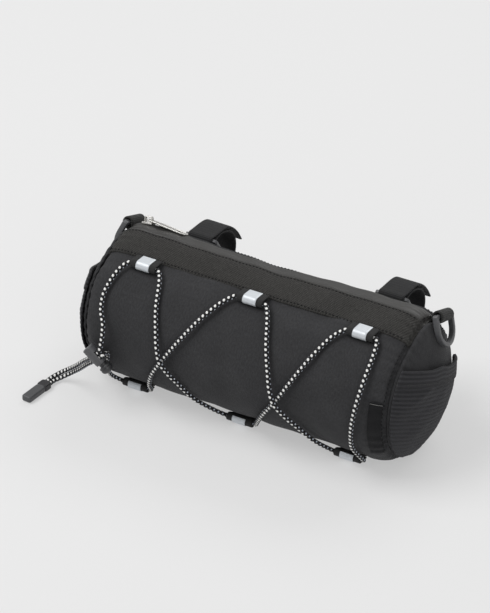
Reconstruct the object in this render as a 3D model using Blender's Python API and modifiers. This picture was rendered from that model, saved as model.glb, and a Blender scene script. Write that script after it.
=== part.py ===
"""Bicycle handlebar bag: a soft zipped barrel with two bar straps, two end pockets and a laced elastic cord.

Units are metres. +X is the right-hand end seen from the front, -Y the laced front, +Y the handlebar side
and +Z up. The origin is on the floor, under the middle of the flat patch that the bag rests on.
Angles round the barrel are in degrees from the top, positive toward the handlebar side.
"""
import math
from collections import namedtuple

import bmesh
import bpy
from mathutils import Matrix, Vector

# Barrel
SEAM_TO_SEAM = 0.245
BAG_RADIUS = 0.056
AXIS_HEIGHT = 0.054
END_ROUNDING = 0.020
END_DROP = 0.007
END_BULGE = 0.013
SEAM_LIP = 0.0008
SHELL_WALL = 0.0016
BAND_WALL = 0.0018
TAPE_WALL = 0.0014
PANEL_WALL = 0.0016
CLEARANCE = 0.0003
SEAM_GAP = 0.0005

# Seams round the barrel, in degrees
BAND_SEAM = -20.0
TAPE_FRONT = 4.0
ZIP_LINE = 17.5
TAPE_REAR = 31.0

# Side pockets
POCKET_MOUTH = 0.0198
POCKET_SLANT = 22.0
HEM_HEIGHT = 0.0125
HEM_WALL = 0.0020
POCKET_WALL = 0.0012
POCKET_PUFF = 0.0016
POCKET_EASE = 0.0008
POCKET_INSET = 0.0012

# Zip slider and pull
SLIDER_AT = 0.0135
SLIDER_LENGTH = 0.0095
SLIDER_WIDTH = 0.0085
SLIDER_PLATE = 0.0016
BAIL_LENGTH = 0.0064
BAIL_HEIGHT = 0.0034
BAIL_WIRE = 0.0009
BAIL_WIDTH = 0.0022
PULL_LENGTH = 0.0335
PULL_WIDTH = 0.0085
PULL_WALL = 0.0012
PULL_EYE = 0.0036
PULL_HOLE = 0.0070
PULL_HOLE_WIDTH = 0.0038

# D-rings and their webbing tabs
TAB_ANGLE = 29.0
TAB_TILT = 22.0
TAB_OUT = 0.0046
TAB_RISE = 0.0054
TAB_WIDTH = 0.020
WEBBING = 0.0015
D_RING_OPENING = 0.0222
D_RING_WIRE = 0.0030
D_RING_DEPTH = 0.0042
D_RING_DROP = 0.0080
D_RING_CORNER = 0.0022
D_RING_HANG = 21.0

# Bar straps, their rings and the keepers that hold the rings
STRAP_AT = 0.079
STRAP_WIDTH = 0.020
STRAP_WALL = 0.0014
KEEPER_WALL = 0.0012
RING_ANGLE = 57.5
RING_LEAN = 33.0
RING_OPENING = 0.0218
RING_GAP = 0.0082
RING_WIRE = 0.0026
RING_CORNER = 0.0022
KEEPER_REACH = 12.0

# Cord loops, three on the band seam and three under the front
LOOP_SPACING = 0.088
UPPER_LOOP_SHIFT = 0.003
LOWER_LOOP_SHIFT = 0.0
LOWER_LOOP_ROOT = -151.0
LOOP_WIDTH = 0.021
LOOP_LENGTH = 0.012
LOOP_WALL = 0.0010
LOOP_PLAY = 0.0005
REFLECTOR_WIDTH = 0.0108
REFLECTOR_WALL = 0.0005

# Elastic cord, its lock and its end piece
CORD = 0.0032
LOCK_DIAMETER = 0.0094
LOCK_LENGTH = 0.0155
LOCK_BORE = 0.0066
LOCK_CHAMFER = 0.0008
LOCK_FLOOR = 0.0016
HOLE_TO_RIM = 0.0062
BUTTON_GAP = 0.0023
BUTTON_TRAVEL = 0.0018
BUTTON_CAP = 0.0064
BUTTON_DOME = 0.0032
CORD_END_LENGTH = 0.026
CORD_END_WIDTH = 0.0086
CORD_END_HEIGHT = 0.0052

# Side label
LABEL_WIDTH = 0.0085
LABEL_TO_SEAM = 0.0020
LABEL_TOP = -73.0
LABEL_BOTTOM = -124.0
LABEL_WALL = 0.0006

# How the barrel's section swells and hollows: centre and spread in degrees, rise as a share of BAG_RADIUS
Swell = namedtuple("Swell", "angle spread rise")
SECTION = (
    Swell(10, 20, 0.055),
    Swell(62, 38, -0.050),
    Swell(-22, 18, -0.030),
    Swell(-120, 34, 0.030),
)

# Soft hollows: place and length as shares of half the seam-to-seam length, depth as a share of BAG_RADIUS
Dent = namedtuple("Dent", "along length angle spread depth")
DENTS = (
    Dent(0.00, 0.62, 20, 45, 0.040),
    Dent(0.38, 0.20, -52, 14, 0.012),
    Dent(-0.36, 0.18, -60, 16, 0.010),
    Dent(-0.70, 0.14, -118, 18, 0.010),
    Dent(0.62, 0.16, -112, 16, 0.010),
    Dent(0.05, 0.30, 118, 20, 0.016),
)

# Bar strap, from the back of the bag out and forward to its ring: shares of BAG_RADIUS from the bag's axis
StrapPoint = namedtuple("StrapPoint", "back up")
STRAP_UNDER = (
    StrapPoint(1.075, -0.085),
    StrapPoint(1.195, 0.020),
    StrapPoint(1.300, 0.160),
    StrapPoint(1.345, 0.320),
    StrapPoint(1.320, 0.470),
    StrapPoint(1.230, 0.590),
    StrapPoint(1.085, 0.668),
    StrapPoint(0.930, 0.695),
)
STRAP_ROOT_ANGLES = (116, 108, 101)
STRAP_TIP = (
    StrapPoint(1.130, 0.712),
    StrapPoint(1.290, 0.610),
    StrapPoint(1.410, 0.480),
    StrapPoint(1.500, 0.335),
)

# Where the lock hangs off the barrel's front, and the way that its barrel and its outward side face
LOCK_STAND = 0.0090
LOCK_DROP = 0.0111
LOCK_CENTRE = Vector((-0.1054, -(BAG_RADIUS + LOCK_STAND), AXIS_HEIGHT - LOCK_DROP))
LOCK_AXIS = Vector((0.745, 0.055, -0.664)).normalized()
LOCK_OUT = Vector((-0.045, -0.990, -0.133))

# The cord's route over the bag, in metres along it, degrees round it and metres above its cloth
RoutePoint = namedtuple("RoutePoint", "x angle lift")
CORD_ROUTE = (
    RoutePoint(-0.1010, -78.0, 0.0046),
    RoutePoint(-0.1055, -68.0, 0.0026),
    RoutePoint(-0.1065, -56.0, 0.0023),
    RoutePoint(-0.1040, -43.0, 0.0024),
    RoutePoint(-0.1010, -34.0, 0.0029),
    RoutePoint(-0.0975, -29.7, 0.0034),
    RoutePoint(-0.0940, -29.1, 0.0034),
    RoutePoint(-0.0760, -29.1, 0.0034),
    RoutePoint(-0.0725, -29.7, 0.0034),
    RoutePoint(-0.0680, -38.0, 0.0027),
    RoutePoint(-0.0635, -55.0, 0.0023),
    RoutePoint(-0.0585, -73.0, 0.0028),
    RoutePoint(-0.0520, -91.0, 0.0058),
    RoutePoint(-0.0410, -107.0, 0.0027),
    RoutePoint(-0.0310, -122.0, 0.0023),
    RoutePoint(-0.0195, -136.0, 0.0027),
    RoutePoint(-0.0125, -141.3, 0.0034),
    RoutePoint(-0.0090, -141.9, 0.0034),
    RoutePoint(0.0090, -141.9, 0.0034),
    RoutePoint(0.0125, -141.3, 0.0034),
    RoutePoint(0.0185, -130.0, 0.0026),
    RoutePoint(0.0285, -112.0, 0.0023),
    RoutePoint(0.0410, -94.0, 0.0022),
    RoutePoint(0.0520, -75.0, 0.0023),
    RoutePoint(0.0625, -55.0, 0.0023),
    RoutePoint(0.0715, -38.0, 0.0027),
    RoutePoint(0.0785, -29.7, 0.0034),
    RoutePoint(0.0820, -29.1, 0.0034),
    RoutePoint(0.1000, -29.1, 0.0034),
    RoutePoint(0.1035, -29.7, 0.0034),
    RoutePoint(0.1058, -40.0, 0.0026),
    RoutePoint(0.1055, -58.0, 0.0023),
    RoutePoint(0.1035, -77.0, 0.0023),
    RoutePoint(0.1010, -97.0, 0.0023),
    RoutePoint(0.0995, -117.0, 0.0023),
    RoutePoint(0.1020, -133.0, 0.0026),
    RoutePoint(0.1005, -141.3, 0.0034),
    RoutePoint(0.0970, -141.9, 0.0034),
    RoutePoint(0.0790, -141.9, 0.0034),
    RoutePoint(0.0755, -141.3, 0.0034),
    RoutePoint(0.0675, -129.0, 0.0026),
    RoutePoint(0.0560, -112.0, 0.0028),
    RoutePoint(0.0410, -94.0, 0.0058),
    RoutePoint(0.0335, -75.0, 0.0028),
    RoutePoint(0.0270, -56.0, 0.0023),
    RoutePoint(0.0205, -38.0, 0.0027),
    RoutePoint(0.0155, -29.7, 0.0034),
    RoutePoint(0.0120, -29.1, 0.0034),
    RoutePoint(-0.0060, -29.1, 0.0034),
    RoutePoint(-0.0095, -29.7, 0.0034),
    RoutePoint(-0.0165, -37.0, 0.0027),
    RoutePoint(-0.0275, -53.0, 0.0023),
    RoutePoint(-0.0395, -72.0, 0.0023),
    RoutePoint(-0.0520, -91.0, 0.0022),
    RoutePoint(-0.0620, -107.0, 0.0023),
    RoutePoint(-0.0690, -123.0, 0.0023),
    RoutePoint(-0.0720, -134.0, 0.0027),
    RoutePoint(-0.0755, -141.3, 0.0034),
    RoutePoint(-0.0790, -141.9, 0.0034),
    RoutePoint(-0.0970, -141.9, 0.0034),
    RoutePoint(-0.1005, -141.3, 0.0034),
    RoutePoint(-0.1045, -130.0, 0.0026),
    RoutePoint(-0.1020, -113.0, 0.0023),
    RoutePoint(-0.0985, -101.0, 0.0023),
)

# The two free strands of the cord, from the lock down to the floor and into the end piece
TAIL_ROUTE = (
    Vector((-0.1165, -0.0600, 0.0300)),
    Vector((-0.1270, -0.0545, 0.0190)),
    Vector((-0.1370, -0.0510, 0.0100)),
    Vector((-0.1445, -0.0525, 0.0045)),
    Vector((-0.1481, -0.0575, 0.0027)),
)
CORD_END_AT = Vector((-0.1486, -0.0628, 0.0))
CORD_END_DIRECTION = Vector((-0.09, -0.996, 0.0)).normalized()

# Facets
FLAT_STEPS = 4
ROUND_STEPS = 4
LOOP_STEPS = 6
ARC_STEPS = 12
CORD_SPACING = 0.0130
STRAP_SPACING = 0.0060
TAIL_SPACING = 0.0075

Finish = namedtuple("Finish", "colour roughness metallic")
NYLON = Finish((0.045, 0.045, 0.048), 0.85, 0.0)
COARSE_NYLON = Finish((0.052, 0.050, 0.048), 0.90, 0.0)
COATED_TAPE = Finish((0.060, 0.057, 0.054), 0.55, 0.0)
RIBBED_MESH = Finish((0.055, 0.053, 0.053), 0.90, 0.0)
WEBBING_CLOTH = Finish((0.030, 0.030, 0.032), 0.90, 0.0)
REFLECTIVE = Finish((0.62, 0.66, 0.68), 0.35, 0.0)
MOULDED = Finish((0.10, 0.10, 0.11), 0.45, 0.0)
SILVER = Finish((0.72, 0.71, 0.68), 0.30, 1.0)
CORD_COVER = Finish((0.040, 0.040, 0.040), 0.80, 0.0)

HALF_LENGTH = SEAM_TO_SEAM / 2
SEAM_RADIUS = BAG_RADIUS - END_DROP
X_AXIS = Vector((1, 0, 0))
Y_AXIS = Vector((0, 1, 0))
Z_AXIS = Vector((0, 0, 1))


# Scene and objects


def clear_scene():
    for obj in list(bpy.data.objects):
        bpy.data.objects.remove(obj, do_unlink=True)


def new_collection(name):
    collection = bpy.data.collections.new(name)
    bpy.context.scene.collection.children.link(collection)
    return collection


def principled(name, finish):
    material = bpy.data.materials.new(name)
    material.use_nodes = True
    shader = material.node_tree.nodes["Principled BSDF"]
    shader.inputs["Base Color"].default_value = (*finish.colour, 1)
    shader.inputs["Roughness"].default_value = finish.roughness
    shader.inputs["Metallic"].default_value = finish.metallic
    return material


def add_object(name, data, finish, matrix=None):
    """A named object of the bag with a material of its own."""
    obj = bpy.data.objects.new(name, data)
    data.materials.append(principled(name, finish))
    PARTS.objects.link(obj)
    if matrix is not None:
        obj.matrix_world = matrix
    return obj


def add_bmesh(name, bm, finish, matrix=None):
    mesh = bpy.data.meshes.new(name)
    bm.to_mesh(mesh)
    bm.free()
    return add_object(name, mesh, finish, matrix)


def frame(origin, x_axis, y_axis, z_axis):
    matrix = Matrix((x_axis, y_axis, z_axis)).transposed().to_4x4()
    matrix.translation = origin
    return matrix


def solidify(obj, wall, offset):
    modifier = obj.modifiers.new("Wall", "SOLIDIFY")
    modifier.thickness = wall
    modifier.offset = offset
    modifier.use_even_offset = True


def add_cutter(name, size, matrix):
    bm = bmesh.new()
    bmesh.ops.create_cube(bm, size=1)
    bmesh.ops.scale(bm, vec=size, verts=bm.verts)
    mesh = bpy.data.meshes.new(name)
    bm.to_mesh(mesh)
    bm.free()
    cutter = bpy.data.objects.new(name, mesh)
    cutter.matrix_world = matrix
    cutter.hide_render = True
    cutter.display_type = "WIRE"
    CUTTERS.objects.link(cutter)
    return cutter


def boolean(obj, other, operation):
    modifier = obj.modifiers.new(operation.title(), "BOOLEAN")
    modifier.operation = operation
    modifier.solver = "EXACT"
    modifier.object = other


# Shape of the soft barrel


def bell(distance):
    return math.exp(-distance * distance)


def turn(angle):
    """The angle brought to the half turn either side of zero."""
    return (angle + 180) % 360 - 180


def end_drop(x):
    """How far the barrel's cloth has curved in toward its end seam, in metres."""
    start = HALF_LENGTH - SEAM_LIP - END_ROUNDING
    into = min(max((abs(x) - start) / END_ROUNDING, 0), 1)
    return END_DROP * (1 - math.sqrt(1 - into * into))


def section_share(angle):
    return 1 + sum(s.rise * bell(turn(angle - s.angle) / s.spread) for s in SECTION)


def dent_share(x, angle):
    place = x / HALF_LENGTH
    return sum(
        d.depth * bell((place - d.along) / d.length) * bell(turn(angle - d.angle) / d.spread) for d in DENTS
    )


def skin(x, angle):
    """The barrel's outer surface, flattened where it rests on the floor."""
    share = section_share(angle) - dent_share(x, angle)
    radius = share * (BAG_RADIUS - end_drop(x))
    turned = math.radians(angle)
    height = AXIS_HEIGHT + radius * math.cos(turned)
    return Vector((x, radius * math.sin(turned), max(height, 0)))


def skin_normal(x, angle):
    step = 0.0004
    along = skin(x + step, angle) - skin(x - step, angle)
    around = skin(x, angle + 0.5) - skin(x, angle - 0.5)
    return along.cross(around).normalized()


def lifted(x, angle, lift):
    return skin(x, angle) + skin_normal(x, angle) * lift


def degrees_for(length):
    return math.degrees(length / BAG_RADIUS)


def seam_station(share):
    """Place along the barrel for a share from -1 to 1, with rows gathered where the ends round over."""
    steps = abs(share) * (FLAT_STEPS + ROUND_STEPS + 1)
    straight = HALF_LENGTH - SEAM_LIP - END_ROUNDING
    if steps <= FLAT_STEPS:
        place = straight * steps / FLAT_STEPS
    elif steps <= FLAT_STEPS + ROUND_STEPS:
        place = straight + END_ROUNDING * math.sin((steps - FLAT_STEPS) / ROUND_STEPS * math.pi / 2)
    else:
        place = HALF_LENGTH - SEAM_LIP + SEAM_LIP * (steps - FLAT_STEPS - ROUND_STEPS)
    return math.copysign(place, share)


def barrel_sheet(name, first, last, rows, wall, finish):
    """A panel of the barrel's cloth from seam to seam, between two angles, with its wall inward."""
    gap = degrees_for(SEAM_GAP) / 2
    bm = bmesh.new()
    columns = 2 * (FLAT_STEPS + ROUND_STEPS + 1)
    bmesh.ops.create_grid(bm, x_segments=columns, y_segments=rows, size=1)
    for vert in bm.verts:
        share = (vert.co.y + 1) / 2
        angle = first + gap + (last - first - 2 * gap) * share
        vert.co = skin(seam_station(vert.co.x), angle)
    obj = add_bmesh(name, bm, finish)
    solidify(obj, wall, -1)
    return obj


# Curves and tapes


def smooth(points, spacing):
    """Points along a smooth curve through the given points, about the given distance apart."""
    gaps = [(b - a).length for a, b in zip(points, points[1:])]
    slopes = [(points[1] - points[0]) / gaps[0]]
    for index in range(1, len(points) - 1):
        reach = gaps[index - 1] + gaps[index]
        slopes.append((points[index + 1] - points[index - 1]) / reach)
    slopes.append((points[-1] - points[-2]) / gaps[-1])
    curve = []
    for index, gap in enumerate(gaps):
        steps = max(1, round(gap / spacing))
        for step in range(steps):
            t = step / steps
            start = points[index] * (2 * t**3 - 3 * t**2 + 1) + slopes[index] * gap * (t**3 - 2 * t**2 + t)
            end = points[index + 1] * (3 * t**2 - 2 * t**3) + slopes[index + 1] * gap * (t**3 - t**2)
            curve.append(start + end)
    curve.append(points[-1])
    return curve


def arc(centre, radius, start, stop, steps):
    """Points on a plane arc, with angles in degrees."""
    points = []
    for step in range(steps + 1):
        angle = math.radians(start + (stop - start) * step / steps)
        points.append(Vector((centre[0] + radius * math.cos(angle), centre[1] + radius * math.sin(angle))))
    return points


def ribbon(name, path, across, width, wall, finish):
    """A flat tape along a path, its width along one axis and its wall either side of the path."""
    bm = bmesh.new()
    bmesh.ops.create_grid(bm, x_segments=1, y_segments=len(path) - 1, size=1)
    for vert in bm.verts:
        step = round((vert.co.y + 1) / 2 * (len(path) - 1))
        vert.co = path[step] + across * (vert.co.x * width / 2)
    obj = add_bmesh(name, bm, finish)
    solidify(obj, wall, 0)
    return obj


def plate(name, outlines, thickness, bevel, finish, matrix):
    """A flat piece with round edges, from an outline and its holes."""
    curve = bpy.data.curves.new(name, "CURVE")
    curve.dimensions = "2D"
    curve.fill_mode = "BOTH"
    curve.extrude = thickness / 2 - bevel
    curve.bevel_depth = bevel
    curve.bevel_resolution = 0
    curve.offset = -bevel
    for outline in outlines:
        spline = curve.splines.new("POLY")
        spline.points.add(len(outline) - 1)
        for point, place in zip(spline.points, outline):
            point.co = (place[0], place[1], 0, 1)
        spline.use_cyclic_u = True
    return add_object(name, curve, finish, matrix)


def rounded_box(left, right, bottom, top, corner, steps=3):
    return (
        arc((right - corner, top - corner), corner, 0, 90, steps)
        + arc((left + corner, top - corner), corner, 90, 180, steps)
        + arc((left + corner, bottom + corner), corner, 180, 270, steps)
        + arc((right - corner, bottom + corner), corner, 270, 360, steps)
    )


def cord_tube(name, points, finish):
    curve = bpy.data.curves.new(name, "CURVE")
    curve.dimensions = "3D"
    curve.bevel_depth = CORD / 2
    curve.bevel_resolution = 2
    curve.use_fill_caps = True
    spline = curve.splines.new("POLY")
    spline.points.add(len(points) - 1)
    for point, place in zip(spline.points, points):
        point.co = (*place, 1)
    return add_object(name, curve, finish)


# Barrel and end panels


def make_barrel():
    barrel_sheet("barrel_shell", TAPE_REAR, 360 + BAND_SEAM, 32, SHELL_WALL, NYLON)
    barrel_sheet("top_band", BAND_SEAM, TAPE_FRONT, 4, BAND_WALL, COARSE_NYLON)
    barrel_sheet("zip_tape_front", TAPE_FRONT, ZIP_LINE, 2, TAPE_WALL, COATED_TAPE)
    barrel_sheet("zip_tape_rear", ZIP_LINE, TAPE_REAR, 2, TAPE_WALL, COATED_TAPE)


def dome(side, back, up):
    """A point of an end panel, from its place in the panel as shares of the seam's radius."""
    reach = math.hypot(back, up)
    angle = math.degrees(math.atan2(back, up))
    rim = skin(HALF_LENGTH, angle)
    rise = END_BULGE * max(1 - reach**2.2, 0) ** 0.8
    x = side * (HALF_LENGTH + CLEARANCE + SEAM_LIP + rise)
    return Vector((x, rim.y * reach, AXIS_HEIGHT + (rim.z - AXIS_HEIGHT) * reach))


def lifted_dome(side, back, up, lift):
    step = 0.01
    along = dome(side, back + step, up) - dome(side, back - step, up)
    across = dome(side, back, up + step) - dome(side, back, up - step)
    normal = along.cross(across).normalized()
    if normal.x * side < 0:
        normal.negate()
    return dome(side, back, up) + normal * lift


def make_end_panel(name, side):
    reaches = (0.0, 0.24, 0.46, 0.66, 0.82, 0.93, 0.985, 1.0)
    bm = bmesh.new()
    bmesh.ops.create_grid(bm, x_segments=len(reaches), y_segments=26, size=1)
    for vert in bm.verts:
        ring = round((vert.co.x + 1) / 2 * len(reaches))
        angle = vert.co.y * math.pi * side
        reach = reaches[min(ring, len(reaches) - 1)]
        vert.co = dome(side, reach * math.sin(angle), reach * math.cos(angle))
        if ring == len(reaches):
            vert.co.x -= side * SEAM_LIP
    bmesh.ops.remove_doubles(bm, verts=bm.verts, dist=0.00001)
    bmesh.ops.recalc_face_normals(bm, faces=bm.faces)
    if sum(face.normal.x * face.calc_area() for face in bm.faces) * side < 0:
        bmesh.ops.reverse_faces(bm, faces=bm.faces)
    obj = add_bmesh(name, bm, NYLON)
    solidify(obj, PANEL_WALL, -1)
    return obj


def pocket_sheet(name, side, first, last, rows, wall, finish):
    """A strip of an end pocket, between two distances below its mouth, puffed off the panel."""
    slant = math.radians(POCKET_SLANT)
    along = Vector((math.cos(slant), -math.sin(slant)))
    down = Vector((-math.sin(slant), -math.cos(slant)))
    widest = 1 - POCKET_INSET / SEAM_RADIUS
    mouth = -POCKET_MOUTH / SEAM_RADIUS
    bm = bmesh.new()
    bmesh.ops.create_grid(bm, x_segments=10, y_segments=rows, size=1)
    for vert in bm.verts:
        share = (1 - vert.co.y) / 2
        below = mouth + (first + (last - first) * share) / SEAM_RADIUS
        half = math.sqrt(max(widest * widest - below * below, 0))
        place = along * (vert.co.x * half) + down * below
        puff = POCKET_PUFF * (1 - vert.co.x**2) * (1 - ((below - mouth) / (widest - mouth)) ** 2)
        vert.co = lifted_dome(side, place.x, place.y, CLEARANCE + POCKET_EASE + wall + puff)
    if side < 0:
        bmesh.ops.reverse_faces(bm, faces=bm.faces)
    obj = add_bmesh(name, bm, finish)
    solidify(obj, wall, -1)
    return obj


def make_end(name, side):
    make_end_panel("end_panel_" + name, side)
    depth = POCKET_MOUTH + SEAM_RADIUS - 2 * POCKET_INSET
    pocket_sheet("pocket_hem_" + name, side, 0, HEM_HEIGHT, 2, HEM_WALL, RIBBED_MESH)
    pocket_sheet("pocket_" + name, side, HEM_HEIGHT + CLEARANCE, depth, 8, POCKET_WALL, RIBBED_MESH)


# D-rings on the end seams


def tab_frame(side):
    """Centre and axes of a D-ring's bar: along the bar, straight off the bag's axis and out of the end."""
    seam = skin(HALF_LENGTH, TAB_ANGLE)
    turned = math.radians(TAB_ANGLE)
    off = Vector((0, math.sin(turned), math.cos(turned)))
    centre = Vector((side * (HALF_LENGTH + TAB_OUT), seam.y, seam.z)) + off * TAB_RISE
    tilt = math.radians(TAB_TILT)
    bar = Vector((0, math.cos(tilt), -math.sin(tilt)))
    up = Vector((0, math.sin(tilt), math.cos(tilt)))
    return centre, bar, up, X_AXIS * side


def make_tab(name, side):
    """Webbing folded round the ring's bar, its two ends pinched together over the end seam."""
    centre, bar, up, out = tab_frame(side)
    reach = math.hypot(D_RING_WIRE, D_RING_DEPTH) / 2 + CLEARANCE + WEBBING / 2
    ends_apart = WEBBING + CLEARANCE
    seam_angle = math.degrees(math.atan2(-TAB_RISE, -TAB_OUT)) + 8
    toward = Vector((math.cos(math.radians(seam_angle)), math.sin(math.radians(seam_angle))))
    beside = Vector((-toward.y, toward.x))
    depth = math.hypot(TAB_OUT, TAB_RISE) - WEBBING * 1.5
    loop = [toward * depth + beside * (ends_apart / 2)]
    loop += arc((0, 0), reach, seam_angle + 52, seam_angle + 308, ARC_STEPS)
    loop += [toward * depth - beside * (ends_apart / 2)]
    path = [centre + out * place.x + up * place.y for place in loop]
    ribbon("ring_tab_" + name, path, bar, TAB_WIDTH, WEBBING, WEBBING_CLOTH)


def d_ring_outlines():
    inner = D_RING_OPENING / 2
    outer = inner + D_RING_WIRE
    top = D_RING_WIRE / 2
    corner = D_RING_CORNER
    outside = (
        arc((-outer + corner, -top + corner), corner, 180, 270, 3)
        + arc((outer - corner, -top + corner), corner, 270, 360, 3)
        + arc((0, D_RING_DROP), outer, 0, 180, ARC_STEPS)
    )
    inside = (
        arc((-inner + corner / 2, top + corner / 2), corner / 2, 180, 270, 2)
        + arc((inner - corner / 2, top + corner / 2), corner / 2, 270, 360, 2)
        + arc((0, D_RING_DROP), inner, 0, 180, ARC_STEPS)
    )
    return outside, inside


def make_d_ring(name, side):
    """The moulded ring, hung from its bar against the end panel."""
    centre, bar, up, out = tab_frame(side)
    hang = math.radians(D_RING_HANG)
    down = out * math.sin(hang) - up * math.cos(hang)
    matrix = frame(centre, bar, down, bar.cross(down))
    plate("d_ring_" + name, d_ring_outlines(), D_RING_DEPTH, 0.0005, MOULDED, matrix)


# Bar straps


def ring_bars():
    """Centres of the strap ring's two bars in the plane of a strap, and the way from one to the other."""
    seat = CLEARANCE * 2 + KEEPER_WALL + RING_WIRE * 0.65
    lower = lifted(STRAP_AT, RING_ANGLE, seat)
    lean = math.radians(RING_LEAN)
    along = Vector((0, -math.sin(lean), math.cos(lean)))
    return Vector((0, lower.y, lower.z)), along, RING_GAP + RING_WIRE


def strap_place(point):
    return Vector((0, point.back * BAG_RADIUS, AXIS_HEIGHT + point.up * BAG_RADIUS))


def strap_path():
    """Centre line of a bar strap: off the bag's back, over, round the ring's upper bar and out to its tip."""
    lower, along, span = ring_bars()
    bar = lower + along * span
    reach = RING_WIRE * 0.65 + CLEARANCE + STRAP_WALL / 2
    root_lift = CLEARANCE + STRAP_WALL / 2
    root = [lifted(STRAP_AT, angle, root_lift) for angle in STRAP_ROOT_ANGLES]
    under = [Vector((0, place.y, place.z)) for place in root]
    under += [strap_place(point) for point in STRAP_UNDER]
    wrap = arc((bar.y, bar.z), reach, -80, -275, ARC_STEPS - 2)
    wrap = [Vector((0, place.x, place.y)) for place in wrap]
    over = [strap_place(point) for point in STRAP_TIP]
    first = smooth(under + wrap[:1], STRAP_SPACING)
    last = smooth(wrap[-1:] + over, STRAP_SPACING)
    return first[:-1] + wrap + last[1:]


def make_strap(name, side):
    path = [place + X_AXIS * (side * STRAP_AT) for place in strap_path()]
    ribbon("bar_strap_" + name, path, X_AXIS, STRAP_WIDTH, STRAP_WALL, WEBBING_CLOTH)


def make_strap_ring(name, side):
    lower, along, span = ring_bars()
    centre = lower + along * (span / 2) + X_AXIS * (side * STRAP_AT)
    half_width = RING_OPENING / 2
    half_height = RING_GAP / 2
    wire = RING_WIRE
    inside = rounded_box(-half_width, half_width, -half_height, half_height, RING_CORNER / 2)
    outside = rounded_box(
        -half_width - wire, half_width + wire, -half_height - wire, half_height + wire, RING_CORNER
    )
    matrix = frame(centre, X_AXIS, along, X_AXIS.cross(along))
    plate("strap_ring_" + name, (outside, inside), wire, 0.0004, MOULDED, matrix)


def make_keeper(name, side):
    """Webbing sewn to the bag's back and folded round the strap ring's lower bar."""
    lower, along, span = ring_bars()
    reach = RING_WIRE * 0.65 + CLEARANCE + KEEPER_WALL / 2
    bar = Vector((lower.y, lower.z))
    radial = math.degrees(math.atan2(lower.z - AXIS_HEIGHT, lower.y))
    wrap = arc(bar, reach, radial - 10, radial + 180, ARC_STEPS - 2)
    inner_lift = CLEARANCE + KEEPER_WALL / 2
    outer_lift = inner_lift + KEEPER_WALL + CLEARANCE
    start = RING_ANGLE + degrees_for(0.004)
    stop = start + KEEPER_REACH
    outer = [lifted(STRAP_AT, angle, outer_lift) for angle in (stop, (start + stop) / 2)]
    inner = [lifted(STRAP_AT, angle, inner_lift) for angle in (start, (start + stop) / 2, stop)]
    points = [Vector((place.y, place.z)) for place in outer] + wrap
    points += [Vector((place.y, place.z)) for place in inner]
    path = [Vector((side * STRAP_AT, place.x, place.y)) for place in points]
    ribbon("ring_keeper_" + name, path, X_AXIS, STRAP_WIDTH, KEEPER_WALL, WEBBING_CLOTH)


# Cord loops


def loop_line(offset=0.0):
    """A cord loop's centre line: distance from its seam and height above the cloth, out and back."""
    base = CLEARANCE + LOOP_WALL / 2
    reach = CORD / 2 + LOOP_PLAY + LOOP_WALL / 2
    centre = LOOP_LENGTH - reach - LOOP_WALL / 2
    start = LOOP_WALL / 2
    return_height = base + LOOP_WALL + CLEARANCE
    slope = math.degrees(math.atan2(base + 2 * reach - return_height, centre - start))
    under = [Vector((start, base)), Vector((centre / 2, base))]
    bend = arc((centre, base + reach), reach + offset, -90, 90 + slope, LOOP_STEPS)
    back = Vector((start, return_height + offset))
    middle = (bend[-1] + back) / 2
    return under, bend, [middle, back]


def on_cloth(x, root, direction, places):
    return [lifted(x, root + direction * degrees_for(place.x), place.y) for place in places]


def make_cord_loop(name, x, root, direction):
    """Grosgrain tape folded over the cord, its two ends in one seam."""
    under, bend, back = loop_line()
    across = X_AXIS * -direction
    path = on_cloth(x, root, direction, under + bend + back)
    ribbon(name, path, across, LOOP_WIDTH, LOOP_WALL, WEBBING_CLOTH)


def make_reflector(name, x, root, direction):
    """The light strip on the outside of a cord loop."""
    offset = (LOOP_WALL + REFLECTOR_WALL) / 2 + CLEARANCE
    under, bend, back = loop_line(offset)
    across = X_AXIS * -direction
    path = on_cloth(x, root, direction, bend[LOOP_STEPS // 3:] + back)
    ribbon(name, path, across, REFLECTOR_WIDTH, REFLECTOR_WALL, REFLECTIVE)


def make_loops():
    for index, step in enumerate((-1, 0, 1), start=1):
        upper = step * LOOP_SPACING + UPPER_LOOP_SHIFT
        lower = step * LOOP_SPACING + LOWER_LOOP_SHIFT
        make_cord_loop(f"upper_loop_{index}", upper, BAND_SEAM, -1)
        make_reflector(f"upper_reflector_{index}", upper, BAND_SEAM, -1)
        make_cord_loop(f"lower_loop_{index}", lower, LOWER_LOOP_ROOT, 1)
        make_reflector(f"lower_reflector_{index}", lower, LOWER_LOOP_ROOT, 1)


# Elastic cord with its lock and end piece


def lock_frame():
    """Lock axes: x the way the cord leaves, y into the bag and z along the barrel toward the button."""
    z_axis = LOCK_AXIS
    x_axis = z_axis.cross(LOCK_OUT).normalized()
    return frame(LOCK_CENTRE, x_axis, z_axis.cross(x_axis), z_axis)


def lock_hole():
    """Place along the lock, width and length of the hole that both strands pass through."""
    width = CORD + 2 * CLEARANCE
    length = 2 * CORD + 3 * CLEARANCE
    return LOCK_LENGTH / 2 - HOLE_TO_RIM, width, length


def turned(name, profile, finish, matrix):
    """A turned piece about its own Z, from a profile that starts and ends on the axis."""
    bm = bmesh.new()
    verts = [bm.verts.new((radius, 0, height)) for radius, height in profile]
    for start, end in zip(verts, verts[1:]):
        bm.edges.new((start, end))
    obj = add_bmesh(name, bm, finish, matrix)
    screw = obj.modifiers.new("Turn", "SCREW")
    screw.steps = 20
    screw.render_steps = 20
    screw.use_merge_vertices = True
    screw.merge_threshold = 0.00001
    return obj


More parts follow.
